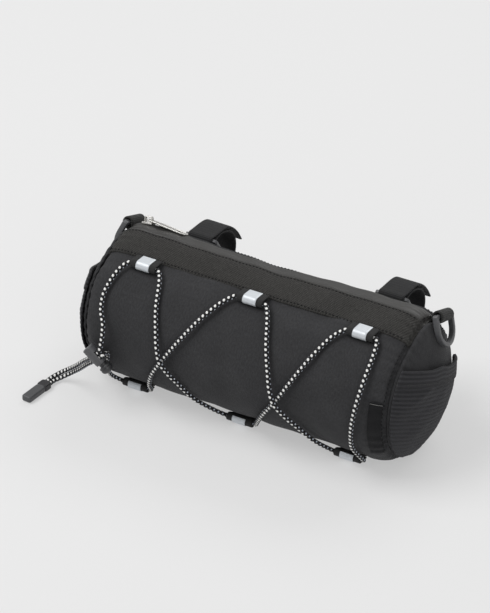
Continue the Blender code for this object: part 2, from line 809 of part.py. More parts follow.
def make_lock():
    matrix = lock_frame()
    radius = LOCK_DIAMETER / 2
    bore = LOCK_BORE / 2
    chamfer = LOCK_CHAMFER
    top = LOCK_LENGTH / 2
    bottom = -LOCK_LENGTH / 2
    profile = (
        (0, bottom + LOCK_FLOOR), (bore, bottom + LOCK_FLOOR), (bore, top),
        (radius - chamfer, top), (radius, top - chamfer),
        (radius, bottom + chamfer), (radius - chamfer, bottom), (0, bottom),
    )
    body = turned("cord_lock_body", profile, MOULDED, matrix)
    at, width, length = lock_hole()
    hole_matrix = matrix @ Matrix.Translation((0, 0, at))
    boolean(body, add_cutter("lock_hole", (LOCK_DIAMETER * 2, width, length), hole_matrix), "DIFFERENCE")
    make_button(matrix)


def make_button(matrix):
    """The sprung button: a domed cap on a forked stem that straddles the cord inside the lock."""
    radius = LOCK_DIAMETER / 2
    stem = LOCK_BORE / 2 - CLEARANCE
    at, width, length = lock_hole()
    rim = LOCK_LENGTH / 2
    cap = rim + BUTTON_GAP
    top = cap + BUTTON_CAP
    tip = at - length / 2 - CLEARANCE
    root = at + length / 2 + BUTTON_TRAVEL + CLEARANCE
    chamfer = LOCK_CHAMFER / 2
    dome_points = []
    for step in range(5):
        around = math.radians(90 * step / 4)
        dome_points.append((radius * math.sin(around), top - BUTTON_DOME * (1 - math.cos(around))))
    profile = (
        *dome_points,
        (radius, cap + chamfer), (radius - chamfer, cap), (stem, cap), (stem, tip), (0, tip),
    )
    button = turned("cord_lock_button", profile, MOULDED, matrix)
    fork = root - tip
    fork_matrix = matrix @ Matrix.Translation((0, 0, root - fork))
    boolean(button, add_cutter("button_fork", (LOCK_DIAMETER * 2, width, fork * 2), fork_matrix), "DIFFERENCE")


def strand_offset(strand):
    return strand * (CORD + CLEARANCE) / 2


def tail_places(strand):
    """One free strand's places, beside the other strand from the lock's hole to the end piece."""
    mouth = CORD_END_AT + Z_AXIS * (CORD_END_HEIGHT / 2)
    centres = [LOCK_CENTRE, *TAIL_ROUTE, mouth, mouth + CORD_END_DIRECTION * CORD]
    at_floor = Z_AXIS.cross(CORD_END_DIRECTION)
    places = []
    for index in range(1, len(centres) - 1):
        share = index / (len(centres) - 2)
        way = (centres[index + 1] - centres[index - 1]).normalized()
        beside = LOCK_AXIS * (1 - share) + at_floor * share
        beside = (beside - way * beside.dot(way)).normalized()
        places.append(centres[index] + beside * strand_offset(strand))
    return places


def make_cords():
    matrix = lock_frame()
    at, width, length = lock_hole()
    radius = LOCK_DIAMETER / 2

    def in_lock(along_hole, strand, inward=0.0):
        return matrix @ Vector((along_hole, inward, at + strand_offset(strand)))

    route = [lifted(point.x, point.angle, point.lift) for point in CORD_ROUTE]
    start = [in_lock(-CLEARANCE / 2, -1), in_lock(-radius, -1), in_lock(-radius - CORD, -1)]
    end = [in_lock(-radius - CORD, 1), in_lock(-radius, 1), in_lock(-CLEARANCE / 2, 1)]
    cord_tube("bungee_cord", smooth(start + route + end, CORD_SPACING), CORD_COVER)
    for name, strand in (("cord_tail_a", -1), ("cord_tail_b", 1)):
        first = [in_lock(CLEARANCE / 2, strand), in_lock(radius + CLEARANCE, strand)]
        cord_tube(name, smooth(first + tail_places(strand), TAIL_SPACING), CORD_COVER)


def make_cord_end():
    """The moulded end piece that closes the cord's two free ends, lying on the floor."""
    length = CORD_END_LENGTH
    half = CORD_END_WIDTH / 2
    beside = CORD_END_DIRECTION.cross(Z_AXIS)
    origin = CORD_END_AT + Z_AXIS * (CORD_END_HEIGHT / 2) + CORD_END_DIRECTION * CLEARANCE
    matrix = frame(origin, CORD_END_DIRECTION, Z_AXIS.cross(CORD_END_DIRECTION), Z_AXIS)
    outline = rounded_box(0, length, -half, half, CORD_END_WIDTH * 0.3)
    plate("cord_end", (outline,), CORD_END_HEIGHT, 0.0010, MOULDED, matrix)


# Zip slider and pull


def slider_frame():
    """Slider axes: x along the zip toward the bag's middle, z off the cloth."""
    x = -HALF_LENGTH + SLIDER_AT
    z_axis = skin_normal(x, ZIP_LINE)
    y_axis = z_axis.cross(X_AXIS).normalized()
    seat = lifted(x, ZIP_LINE, CLEARANCE)
    return frame(seat, y_axis.cross(z_axis), y_axis, z_axis)


def hinge_height():
    return SLIDER_PLATE + BAIL_HEIGHT / 2


def make_slider():
    matrix = slider_frame()
    half = SLIDER_LENGTH / 2
    side = SLIDER_WIDTH / 2
    outline = rounded_box(-half, half, -side, side, SLIDER_WIDTH * 0.3)
    plate_matrix = matrix @ Matrix.Translation((0, 0, SLIDER_PLATE / 2))
    slider = plate("zip_slider", (outline,), SLIDER_PLATE, 0.0003, SILVER, plate_matrix)
    slider = to_mesh(slider)
    bail_matrix = matrix @ Matrix.Translation((0, 0, SLIDER_PLATE)) @ Matrix.Rotation(math.pi / 2, 4, "X")
    half = BAIL_LENGTH / 2
    wire = BAIL_WIRE
    sunk = -SLIDER_PLATE / 2
    outer = arc((half - 0.001, BAIL_HEIGHT + wire - 0.001), 0.001, 0, 90, 3)
    outer += arc((-half + 0.001, BAIL_HEIGHT + wire - 0.001), 0.001, 90, 180, 3)
    outer += [Vector((-half, sunk)), Vector((half, sunk))]
    hole = [
        Vector((-half + wire, 0)), Vector((half - wire, 0)),
        Vector((half - wire, BAIL_HEIGHT)), Vector((-half + wire, BAIL_HEIGHT)),
    ]
    bail = plate("slider_bail", (outer, hole), BAIL_WIDTH, 0.0, SILVER, bail_matrix)
    bail = to_mesh(bail)
    PARTS.objects.unlink(bail)
    CUTTERS.objects.link(bail)
    bail.hide_render = True
    bail.display_type = "WIRE"
    boolean(slider, bail, "UNION")


def to_mesh(obj):
    """The same object with its curve turned into a clean mesh."""
    name = obj.name
    bpy.context.view_layer.update()
    evaluated = obj.evaluated_get(bpy.context.evaluated_depsgraph_get())
    mesh = bpy.data.meshes.new_from_object(evaluated)
    bm = bmesh.new()
    bm.from_mesh(mesh)
    bmesh.ops.remove_doubles(bm, verts=bm.verts, dist=0.00001)
    bm.to_mesh(mesh)
    bm.free()
    matrix = obj.matrix_world.copy()
    bpy.data.objects.remove(obj, do_unlink=True)
    result = bpy.data.objects.new(name, mesh)
    result.name = name
    PARTS.objects.link(result)
    result.matrix_world = matrix
    return result


def make_pull():
    """The pull, lying along the zip with its far end on the cloth and turning on the slider's bail."""
    matrix = slider_frame()
    hinge = matrix @ Vector((0, 0, hinge_height()))
    far = lifted(hinge.x + PULL_LENGTH, ZIP_LINE, CLEARANCE + PULL_WALL / 2)
    along = (far - hinge).normalized()
    y_axis = matrix.to_3x3().col[1]
    across = (y_axis - along * y_axis.dot(along)).normalized()
    lie = frame(hinge, along, across, along.cross(across))
    bar = PULL_WALL / 2
    half = PULL_WIDTH / 2
    neck = BAIL_WIDTH / 2 + 0.0018
    outline = (
        [Vector((-bar, neck)), Vector((-bar, -neck)), Vector((PULL_EYE, -neck))]
        + [Vector((PULL_LENGTH * 0.36, -half))]
        + arc((PULL_LENGTH - half, 0), half, -90, 90, 8)
        + [Vector((PULL_LENGTH * 0.36, half)), Vector((PULL_EYE, neck))]
    )
    eye_half = BAIL_WIDTH / 2 + CLEARANCE
    eye = [
        Vector((bar, -eye_half)), Vector((bar + PULL_EYE, -eye_half)),
        Vector((bar + PULL_EYE, eye_half)), Vector((bar, eye_half)),
    ]
    hole_radius = PULL_HOLE_WIDTH / 2
    hole_end = PULL_LENGTH - half + PULL_HOLE_WIDTH / 2
    hole_start = hole_end - PULL_HOLE + 2 * hole_radius
    hole = arc((hole_end - hole_radius, 0), hole_radius, -90, 90, 5)
    hole += arc((hole_start - hole_radius, 0), hole_radius, 90, 270, 5)
    plate("zip_pull", (outline, eye, hole), PULL_WALL, 0.0, SILVER, lie)


# Side label


def make_label():
    """The small bare label sewn beside the right-hand end seam."""
    bm = bmesh.new()
    bmesh.ops.create_grid(bm, x_segments=3, y_segments=7, size=1)
    outer = HALF_LENGTH - LABEL_TO_SEAM
    for vert in bm.verts:
        x = outer - LABEL_WIDTH * (1 - vert.co.x) / 2
        angle = LABEL_BOTTOM + (LABEL_TOP - LABEL_BOTTOM) * (vert.co.y + 1) / 2
        vert.co = lifted(x, angle, CLEARANCE * 1.6)
    obj = add_bmesh("side_label", bm, WEBBING_CLOTH)
    solidify(obj, LABEL_WALL, 1)


clear_scene()
PARTS = new_collection("handlebar_bag")
CUTTERS = new_collection("cutters")
make_barrel()
for end_name, end_side in (("left", -1), ("right", 1)):
    make_end(end_name, end_side)
    make_tab(end_name, end_side)
    make_d_ring(end_name, end_side)
    make_strap(end_name, end_side)
    make_strap_ring(end_name, end_side)
    make_keeper(end_name, end_side)
make_loops()
make_lock()
make_cords()
make_cord_end()
make_slider()
make_pull()
make_label()
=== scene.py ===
"""Bicycle handlebar bag: its cloth, webbing, cord and trim, laid over the plain solids.

Units are metres, in the solids' own frame: +X is the right-hand end, -Y the laced front and +Z up.
Angles round the barrel are in degrees from the top, positive toward the handlebar side.
"""
import math
from collections import namedtuple

import bmesh
import bpy
from mathutils import Matrix, Vector, kdtree, noise


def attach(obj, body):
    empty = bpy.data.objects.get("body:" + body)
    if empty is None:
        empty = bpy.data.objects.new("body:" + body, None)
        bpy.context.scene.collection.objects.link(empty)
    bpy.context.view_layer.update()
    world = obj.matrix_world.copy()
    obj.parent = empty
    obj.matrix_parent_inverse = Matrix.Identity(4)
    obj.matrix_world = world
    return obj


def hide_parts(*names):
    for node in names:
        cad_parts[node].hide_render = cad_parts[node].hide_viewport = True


MM = 0.001

# The barrel
HALF_LENGTH = 0.1225
BAG_RADIUS = 0.056
AXIS_HEIGHT = 0.054
END_ROUNDING = 0.020
END_DROP = 0.007
END_BULGE = 0.013
SEAM_LIP = 0.0008
SEAM_RADIUS = BAG_RADIUS - END_DROP
BAND_SEAM = -20.0
TAPE_FRONT = 4.0
ZIP_LINE = 17.5
TAPE_REAR = 31.0
CORD = 0.0032
BRAID_RELIEF = 0.00010

Swell = namedtuple("Swell", "angle spread rise")
SECTION = [Swell(*row) for row in (
    (10, 20, 0.055), (62, 38, -0.050), (-22, 18, -0.030), (-120, 34, 0.030),
)]
Dent = namedtuple("Dent", "along length angle spread depth")
DENTS = [Dent(*row) for row in (
    (0.00, 0.62, 20, 45, 0.040), (0.38, 0.20, -52, 14, 0.012), (-0.36, 0.18, -60, 16, 0.010),
    (-0.70, 0.14, -118, 18, 0.010), (0.62, 0.16, -112, 16, 0.010), (0.05, 0.30, 118, 20, 0.016),
)]

# Where the lock hangs
LOCK_CENTRE = Vector((-0.1054, -0.0650, 0.0429))
LOCK_AXIS = Vector((0.745, 0.055, -0.664)).normalized()
LOCK_OUT = Vector((-0.045, -0.990, -0.133))
LOCK_DIAMETER = 0.0094
LOCK_LENGTH = 0.0155
HOLE_TO_RIM = 0.0062
CLEARANCE = 0.0003

# The cord's route over the bag, in metres along it, degrees round it and metres above its cloth
RoutePoint = namedtuple("RoutePoint", "x angle lift")
CORD_ROUTE = [RoutePoint(*row) for row in (
    (-0.1010, -78.0, 0.0046), (-0.1055, -68.0, 0.0026), (-0.1065, -56.0, 0.0023), (-0.1040, -43.0, 0.0024),
    (-0.1010, -34.0, 0.0029), (-0.0975, -29.7, 0.0034), (-0.0940, -29.1, 0.0034), (-0.0760, -29.1, 0.0034),
    (-0.0725, -29.7, 0.0034), (-0.0680, -38.0, 0.0027), (-0.0635, -55.0, 0.0023), (-0.0585, -73.0, 0.0028),
    (-0.0520, -91.0, 0.0058), (-0.0410, -107.0, 0.0027), (-0.0310, -122.0, 0.0023),
    (-0.0195, -136.0, 0.0027), (-0.0125, -141.3, 0.0034), (-0.0090, -141.9, 0.0034),
    (0.0090, -141.9, 0.0034), (0.0125, -141.3, 0.0034), (0.0185, -130.0, 0.0026), (0.0285, -112.0, 0.0023),
    (0.0410, -94.0, 0.0022), (0.0520, -75.0, 0.0023), (0.0625, -55.0, 0.0023), (0.0715, -38.0, 0.0027),
    (0.0785, -29.7, 0.0034), (0.0820, -29.1, 0.0034), (0.1000, -29.1, 0.0034), (0.1035, -29.7, 0.0034),
    (0.1058, -40.0, 0.0026), (0.1055, -58.0, 0.0023), (0.1035, -77.0, 0.0023), (0.1010, -97.0, 0.0023),
    (0.0995, -117.0, 0.0023), (0.1020, -133.0, 0.0026), (0.1005, -141.3, 0.0034), (0.0970, -141.9, 0.0034),
    (0.0790, -141.9, 0.0034), (0.0755, -141.3, 0.0034), (0.0675, -129.0, 0.0026), (0.0560, -112.0, 0.0028),
    (0.0410, -94.0, 0.0058), (0.0335, -75.0, 0.0028), (0.0270, -56.0, 0.0023), (0.0205, -38.0, 0.0027),
    (0.0155, -29.7, 0.0034), (0.0120, -29.1, 0.0034), (-0.0060, -29.1, 0.0034), (-0.0095, -29.7, 0.0034),
    (-0.0165, -37.0, 0.0027), (-0.0275, -53.0, 0.0023), (-0.0395, -72.0, 0.0023), (-0.0520, -91.0, 0.0022),
    (-0.0620, -107.0, 0.0023), (-0.0690, -123.0, 0.0023), (-0.0720, -134.0, 0.0027),
    (-0.0755, -141.3, 0.0034), (-0.0790, -141.9, 0.0034), (-0.0970, -141.9, 0.0034),
    (-0.1005, -141.3, 0.0034), (-0.1045, -130.0, 0.0026), (-0.1020, -113.0, 0.0023),
    (-0.0985, -101.0, 0.0023),
)]
TAIL_ROUTE = (
    Vector((-0.1165, -0.0600, 0.0300)),
    Vector((-0.1270, -0.0545, 0.0190)),
    Vector((-0.1370, -0.0510, 0.0100)),
    Vector((-0.1445, -0.0525, 0.0045)),
    Vector((-0.1481, -0.0575, 0.0027)),
)
CORD_END_AT = Vector((-0.1486, -0.0628, 0.0))
CORD_END_DIRECTION = Vector((-0.09, -0.996, 0.0)).normalized()
CORD_END_LENGTH = 0.026
CORD_END_WIDTH = 0.0086
CORD_END_HEIGHT = 0.0052

X_AXIS = Vector((1, 0, 0))
Z_AXIS = Vector((0, 0, 1))

# Camera and background
CAMERA_AT = Vector((0.9027, -1.5944, 1.2721))
CAMERA_AZIMUTH = math.radians(30)
CAMERA_ELEVATION = math.radians(33)
CAMERA_LENS = 179.5

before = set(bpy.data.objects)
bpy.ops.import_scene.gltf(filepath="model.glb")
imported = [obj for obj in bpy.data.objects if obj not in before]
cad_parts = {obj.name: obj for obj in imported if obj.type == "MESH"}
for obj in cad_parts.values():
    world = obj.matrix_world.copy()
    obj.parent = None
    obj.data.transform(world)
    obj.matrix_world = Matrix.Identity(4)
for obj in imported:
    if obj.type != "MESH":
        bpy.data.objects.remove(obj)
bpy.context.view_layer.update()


# Camera, light and floor


def make_camera():
    az = CAMERA_AZIMUTH
    el = CAMERA_ELEVATION
    back = Vector((math.sin(az) * math.cos(el), -math.cos(az) * math.cos(el), math.sin(el)))
    right = Vector((math.cos(az), math.sin(az), 0))
    up = back.cross(right)
    matrix = Matrix((right, up, back)).transposed().to_4x4()
    matrix.translation = CAMERA_AT
    camera = bpy.data.objects.new("camera", bpy.data.cameras.new("camera"))
    camera.data.lens = CAMERA_LENS
    camera.data.clip_end = 20
    camera.matrix_world = matrix
    bpy.context.scene.collection.objects.link(camera)
    bpy.context.scene.camera = camera


def area_light(name, at, aim, size, power):
    data = bpy.data.lights.new(name, "AREA")
    data.shape = "RECTANGLE"
    data.size, data.size_y = size
    data.energy = power
    light = bpy.data.objects.new(name, data)
    light.location = at
    light.rotation_euler = (Vector(aim) - Vector(at)).to_track_quat("-Z", "Y").to_euler()
    bpy.context.scene.collection.objects.link(light)


def make_studio():
    world = bpy.data.worlds.new("studio")
    world.use_nodes = True
    world.node_tree.nodes["Background"].inputs["Color"].default_value = (1, 1, 1, 1)
    world.node_tree.nodes["Background"].inputs["Strength"].default_value = 0.42
    bpy.context.scene.world = world
    bpy.context.scene.view_settings.view_transform = "Standard"
    area_light("key", (-1.1, -0.6, 2.0), (0, 0, 0.05), (1.6, 1.2), 34)
    area_light("fill", (1.6, -1.4, 1.4), (0, 0, 0.05), (1.4, 1.4), 9)
    area_light("back", (0.2, 1.8, 1.7), (0, 0, 0.08), (2.0, 0.9), 20)
    mesh = bpy.data.meshes.new("floor")
    bm = bmesh.new()
    bmesh.ops.create_grid(bm, x_segments=1, y_segments=1, size=4)
    bm.to_mesh(mesh)
    bm.free()
    floor = bpy.data.objects.new("floor", mesh)
    floor.location.z = -0.0002
    material = bpy.data.materials.new("floor")
    material.use_nodes = True
    shader = material.node_tree.nodes["Principled BSDF"]
    shader.inputs["Base Color"].default_value = (0.34, 0.34, 0.34, 1)
    shader.inputs["Roughness"].default_value = 1.0
    shader.inputs["Specular IOR Level"].default_value = 0.0
    shader.inputs["Emission Color"].default_value = (1, 1, 1, 1)
    shader.inputs["Emission Strength"].default_value = 0.43
    mesh.materials.append(material)
    bpy.context.scene.collection.objects.link(floor)


# Shape of the soft barrel


def unevenness(a, b, c):
    return noise.noise(Vector((a, b, c)))


def bell(distance):
    return math.exp(-distance * distance)


def turn(angle):
    return (angle + 180) % 360 - 180


def end_drop(x):
    start = HALF_LENGTH - SEAM_LIP - END_ROUNDING
    into = min(max((abs(x) - start) / END_ROUNDING, 0), 1)
    return END_DROP * (1 - math.sqrt(1 - into * into))


def section_share(angle):
    return 1 + sum(s.rise * bell(turn(angle - s.angle) / s.spread) for s in SECTION)


def dent_share(x, angle):
    place = x / HALF_LENGTH
    return sum(
        d.depth * bell((place - d.along) / d.length) * bell(turn(angle - d.angle) / d.spread) for d in DENTS
    )


def skin(x, angle):
    share = section_share(angle) - dent_share(x, angle)
    radius = share * (BAG_RADIUS - end_drop(x))
    turned = math.radians(angle)
    height = AXIS_HEIGHT + radius * math.cos(turned)
    return Vector((x, radius * math.sin(turned), max(height, 0)))


def skin_normal(x, angle):
    step = 0.0004
    along = skin(x + step, angle) - skin(x - step, angle)
    around = skin(x, angle + 0.5) - skin(x, angle - 0.5)
    return along.cross(around).normalized()


def lifted(x, angle, lift):
    return skin(x, angle) + skin_normal(x, angle) * lift


def degrees_for(length):
    return math.degrees(length / BAG_RADIUS)


def dome(side, back, up):
    reach = math.hypot(back, up)
    angle = math.degrees(math.atan2(back, up))
    rim = skin(HALF_LENGTH, angle)
    rise = END_BULGE * max(1 - reach**2.2, 0) ** 0.8
    x = side * (HALF_LENGTH + CLEARANCE + SEAM_LIP + rise)
    return Vector((x, rim.y * reach, AXIS_HEIGHT + (rim.z - AXIS_HEIGHT) * reach))


def lifted_dome(side, back, up, lift):
    step = 0.01
    along = dome(side, back + step, up) - dome(side, back - step, up)
    across = dome(side, back, up + step) - dome(side, back, up - step)
    normal = along.cross(across).normalized()
    if normal.x * side < 0:
        normal.negate()
    return dome(side, back, up) + normal * lift


def smooth(points, spacing):
    gaps = [(b - a).length for a, b in zip(points, points[1:])]
    slopes = [(points[1] - points[0]) / gaps[0]]
    for index in range(1, len(points) - 1):
        reach = gaps[index - 1] + gaps[index]
        slopes.append((points[index + 1] - points[index - 1]) / reach)
    slopes.append((points[-1] - points[-2]) / gaps[-1])
    curve = []
    for index, gap in enumerate(gaps):
        steps = max(1, round(gap / spacing))
        for step in range(steps):
            t = step / steps
            start = points[index] * (2 * t**3 - 3 * t**2 + 1) + slopes[index] * gap * (t**3 - 2 * t**2 + t)
            end = points[index + 1] * (3 * t**2 - 2 * t**3) + slopes[index + 1] * gap * (t**3 - t**2)
            curve.append(start + end)
    curve.append(points[-1])
    return curve


def arc(centre, radius, start, stop, steps):
    points = []
    for step in range(steps + 1):
        angle = math.radians(start + (stop - start) * step / steps)
        points.append(Vector((centre[0] + radius * math.cos(angle), centre[1] + radius * math.sin(angle))))
    return points


# Materials


class Graph:
    """Short hand for a material's nodes: every method makes a node and gives its output."""

    def __init__(self, name):
        self.material = bpy.data.materials.new(name)
        self.material.use_nodes = True
        self.nodes = self.material.node_tree.nodes
        self.links = self.material.node_tree.links
        self.shader = self.nodes["Principled BSDF"]

    def put(self, socket, value):
        if isinstance(value, bpy.types.NodeSocket):
            self.links.new(value, socket)
        elif value is not None:
            socket.default_value = value

    def set(self, **values):
        for key, value in values.items():
            self.put(self.shader.inputs[key.replace("_", " ")], value)

    def math(self, operation, a, b=None, c=None, clamp=False):
        node = self.nodes.new("ShaderNodeMath")
        node.operation = operation
        node.use_clamp = clamp
        for socket, value in zip(node.inputs, (a, b, c)):
            self.put(socket, value)
        return node.outputs[0]

    def add(self, a, b):
        return self.math("ADD", a, b)

    def sub(self, a, b):
        return self.math("SUBTRACT", a, b)

    def mul(self, a, b):
        return self.math("MULTIPLY", a, b)

    def vary(self, pattern, low, high):
        """A noise pattern's usual run, spread from low to high."""
        return self.spread(pattern, 0.3, 0.7, low, high)

    def uv(self):
        """The piece's own cloth coordinates in millimetres: along U and V."""
        node = self.nodes.new("ShaderNodeUVMap")
        node.uv_map = "cloth"
        split = self.nodes.new("ShaderNodeSeparateXYZ")
        self.links.new(node.outputs[0], split.inputs[0])
        return split.outputs[0], split.outputs[1]

    def place(self):
        node = self.nodes.new("ShaderNodeTexCoord")
        return node.outputs["Object"]

    def noise(self, vector, scale, detail=3.0, roughness=0.55):
        node = self.nodes.new("ShaderNodeTexNoise")
        self.links.new(vector, node.inputs["Vector"])
        node.inputs["Scale"].default_value = scale
        node.inputs["Detail"].default_value = detail
        node.inputs["Roughness"].default_value = roughness
        return node.outputs[0]

    def join(self, a, b, c=0.0):
        node = self.nodes.new("ShaderNodeCombineXYZ")
        for socket, value in zip(node.inputs, (a, b, c)):
            self.put(socket, value)
        return node.outputs[0]

    def spread(self, value, low, high, to_low, to_high, smooth_step=False):
        node = self.nodes.new("ShaderNodeMapRange")
        if smooth_step:
            node.interpolation_type = "SMOOTHSTEP"
        for socket, item in zip(node.inputs, (value, low, high, to_low, to_high)):
            self.put(socket, item)
        return node.outputs[0]

    def mix(self, share, a, b):
        node = self.nodes.new("ShaderNodeMix")
        node.data_type = "RGBA"
        self.put(node.inputs[0], share)
        self.put(node.inputs[6], a if not isinstance(a, tuple) else (*a, 1))
        self.put(node.inputs[7], b if not isinstance(b, tuple) else (*b, 1))
        return node.outputs[2]

    def shade(self, colour, factor):
        node = self.nodes.new("ShaderNodeVectorMath")
        node.operation = "SCALE"
        self.put(node.inputs[0], colour)
        self.put(node.inputs[3], factor)
        return node.outputs[0]

    def bump(self, height, distance, under=None, strength=1.0):
        node = self.nodes.new("ShaderNodeBump")
        node.inputs["Strength"].default_value = strength
        node.inputs["Distance"].default_value = distance
        self.put(node.inputs["Height"], height)
        if under is not None:
            self.links.new(under, node.inputs["Normal"])
        return node.outputs[0]

    def wave(self, value, pitch, phase=0.0):
        """A wave from -1 to 1 that repeats each pitch."""
        turned = self.math("MULTIPLY", value, 2 * math.pi / pitch)
        return self.math("SINE", self.math("ADD", turned, phase))


def cloth(name, colour, pitch, relief, roughness=0.85, twill=0.0, sheen=0.05, mottle=0.16):
    """Woven cloth: yarns crossing at the given pitch in millimetres, with uneven yarn and soft fading."""
    g = Graph(name)
    u, v = g.uv()
    across = g.wave(g.add(u, g.mul(v, twill)), pitch)
    along = g.wave(v, pitch)
    weave = g.mul(across, along)
    yarn = g.noise(g.join(u, v), 1.3, 4.0, 0.7)
    broad = g.noise(g.join(u, v), 0.035, 3.0, 0.5)
    slub = g.noise(g.join(u, g.mul(v, 0.45)), 0.85, 2.0, 0.6)
    fleck = g.noise(g.join(u, v), 0.9, 4.0, 0.9)
    tone = g.add(g.mul(weave, 0.22), g.vary(yarn, 1 - mottle, 1 + mottle))
    tone = g.mul(tone, g.vary(slub, 1 - mottle, 1 + mottle))
    tone = g.mul(tone, g.spread(broad, 0.35, 0.65, 0.92, 1.08))
    tone = g.add(tone, g.spread(fleck, 0.60, 0.80, 0.0, 0.8))
    g.set(Base_Color=g.shade((*colour,), tone), Roughness=g.vary(yarn, roughness - 0.07, roughness))
    g.set(Sheen_Weight=sheen, Sheen_Roughness=0.45, Sheen_Tint=(1, 1, 1, 1), Specular_IOR_Level=0.18)
    coarse = g.bump(yarn, relief * 0.6)
    g.set(Normal=g.bump(weave, relief, coarse))
    return g.material


def webbing_material(name, colour, rib, relief=0.00012):
    """Webbing: ribs across its width, each broken into yarns, with woven edges."""
    g = Graph(name)
    u, v = g.uv()
    ribs = g.wave(v, rib)
    yarns = g.wave(g.add(u, g.mul(ribs, 0.12)), 0.62)
    weave = g.add(g.mul(ribs, 0.7), g.mul(yarns, 0.3))
    uneven = g.noise(g.join(u, v), 0.9, 4.0, 0.7)
    tone = g.add(g.spread(weave, -1, 1, 0.72, 1.18), g.vary(uneven, -0.14, 0.14))
    g.set(Base_Color=g.shade((*colour,), tone), Roughness=g.vary(uneven, 0.72, 0.88))
    g.set(Sheen_Weight=0.06, Sheen_Roughness=0.4, Specular_IOR_Level=0.2)
    g.set(Normal=g.bump(weave, relief, g.bump(uneven, relief * 0.5)))
    return g.material


def coated_material():
    """The zip tape's coating: satin, faintly ribbed along the zip by the coil under it."""
    g = Graph("coated_tape")
    u, v = g.uv()
    grain = g.noise(g.join(u, v), 3.2, 4.0, 0.6)
    broad = g.noise(g.join(g.mul(u, 0.25), v), 0.22, 2.0, 0.5)
    coil = g.wave(u, 1.3)
    tone = g.add(g.vary(grain, 0.9, 1.1), g.vary(broad, -0.08, 0.08))
    g.set(Base_Color=g.shade((0.026, 0.025, 0.0235), tone), Roughness=g.vary(broad, 0.42, 0.56))
    g.set(Specular_IOR_Level=0.5)
    g.set(Normal=g.bump(coil, 0.00002, g.bump(grain, 0.00005)))
    return g.material


def ribbed_material():
    """Pocket cloth: a fine knit with ribs that run level across the pocket."""
    g = Graph("pocket_knit")
    u, v = g.uv()
    knit = g.mul(g.wave(u, 0.9), g.wave(v, 0.75))
    ribs = g.wave(v, 3.0)
    uneven = g.noise(g.join(g.mul(u, 0.35), v), 1.1, 4.0, 0.65)
    tone = g.add(g.spread(ribs, -1, 1, 0.66, 1.24), g.vary(uneven, -0.16, 0.16))
    tone = g.add(tone, g.mul(knit, 0.10))
    g.set(Base_Color=g.shade((0.036, 0.036, 0.039), tone), Roughness=g.vary(uneven, 0.8, 0.9))
    g.set(Sheen_Weight=0.05, Sheen_Roughness=0.45, Specular_IOR_Level=0.15)
    g.set(Normal=g.bump(knit, 0.00010, g.bump(uneven, 0.00008)))
    return g.material


def moulded_material(name, colour, roughness=0.42):
    """Moulded plastic: a fine spark texture, faint flow marks and convex edges made a little lighter in
    patches.
    """
    g = Graph(name)
    at = g.place()
    spark = g.noise(at, 2600, 3.0, 0.6)
    flow = g.noise(at, 130, 3.0, 0.55)
    patches = g.noise(at, 700, 4.0, 0.7)
    geometry = g.nodes.new("ShaderNodeNewGeometry")
    # Convex edges are made lighter, more where the noise runs high.
    edge = g.spread(geometry.outputs["Pointiness"], 0.52, 0.60, 0.0, 0.35)
    tone = g.add(g.vary(flow, 0.92, 1.08), g.mul(edge, patches))
    g.set(Base_Color=g.shade((*colour,), tone))
    g.set(Roughness=g.vary(patches, roughness - 0.06, roughness + 0.08))
    g.set(Specular_IOR_Level=0.5)
    g.set(Normal=g.bump(spark, 0.000012, g.bump(flow, 0.00002)))
    return g.material


def metal_material(name, dark, light):
    """Plated cast metal: nearly even, with fine scratches and a soft cast surface."""
    g = Graph(name)
    at = g.place()
    cast = g.noise(at, 900, 4.0, 0.6)
    dull = g.noise(at, 220, 3.0, 0.6)
    stretch = g.nodes.new("ShaderNodeMapping")
    stretch.inputs["Scale"].default_value = (0.15, 1.0, 1.0)
    g.links.new(at, stretch.inputs["Vector"])
    scratch = g.noise(stretch.outputs[0], 4000, 3.0, 0.7)
    g.set(Base_Color=g.mix(g.vary(dull, 0, 1), dark, light))
    g.set(Metallic=1.0, Roughness=g.vary(dull, 0.24, 0.38))
    g.set(Normal=g.bump(cast, 0.000004, g.bump(scratch, 0.000002)))
    return g.material


def reflective_material():
    """Reflective tape: fine glass-bead grain on a silver-grey ground, with faint creases."""
    g = Graph("reflective_tape")
    u, v = g.uv()
    bead = g.noise(g.join(u, v), 9.0, 2.0, 0.5)
    broad = g.noise(g.join(u, v), 0.25, 3.0, 0.6)
    tone = g.add(g.vary(bead, 0.95, 1.05), g.vary(broad, -0.04, 0.04))
    g.set(Base_Color=g.shade((0.60, 0.63, 0.66), tone), Roughness=g.vary(broad, 0.38, 0.5))
    g.set(Metallic=0.25, Specular_IOR_Level=0.5)
    g.set(Normal=g.bump(bead, 0.00003))
    return g.material


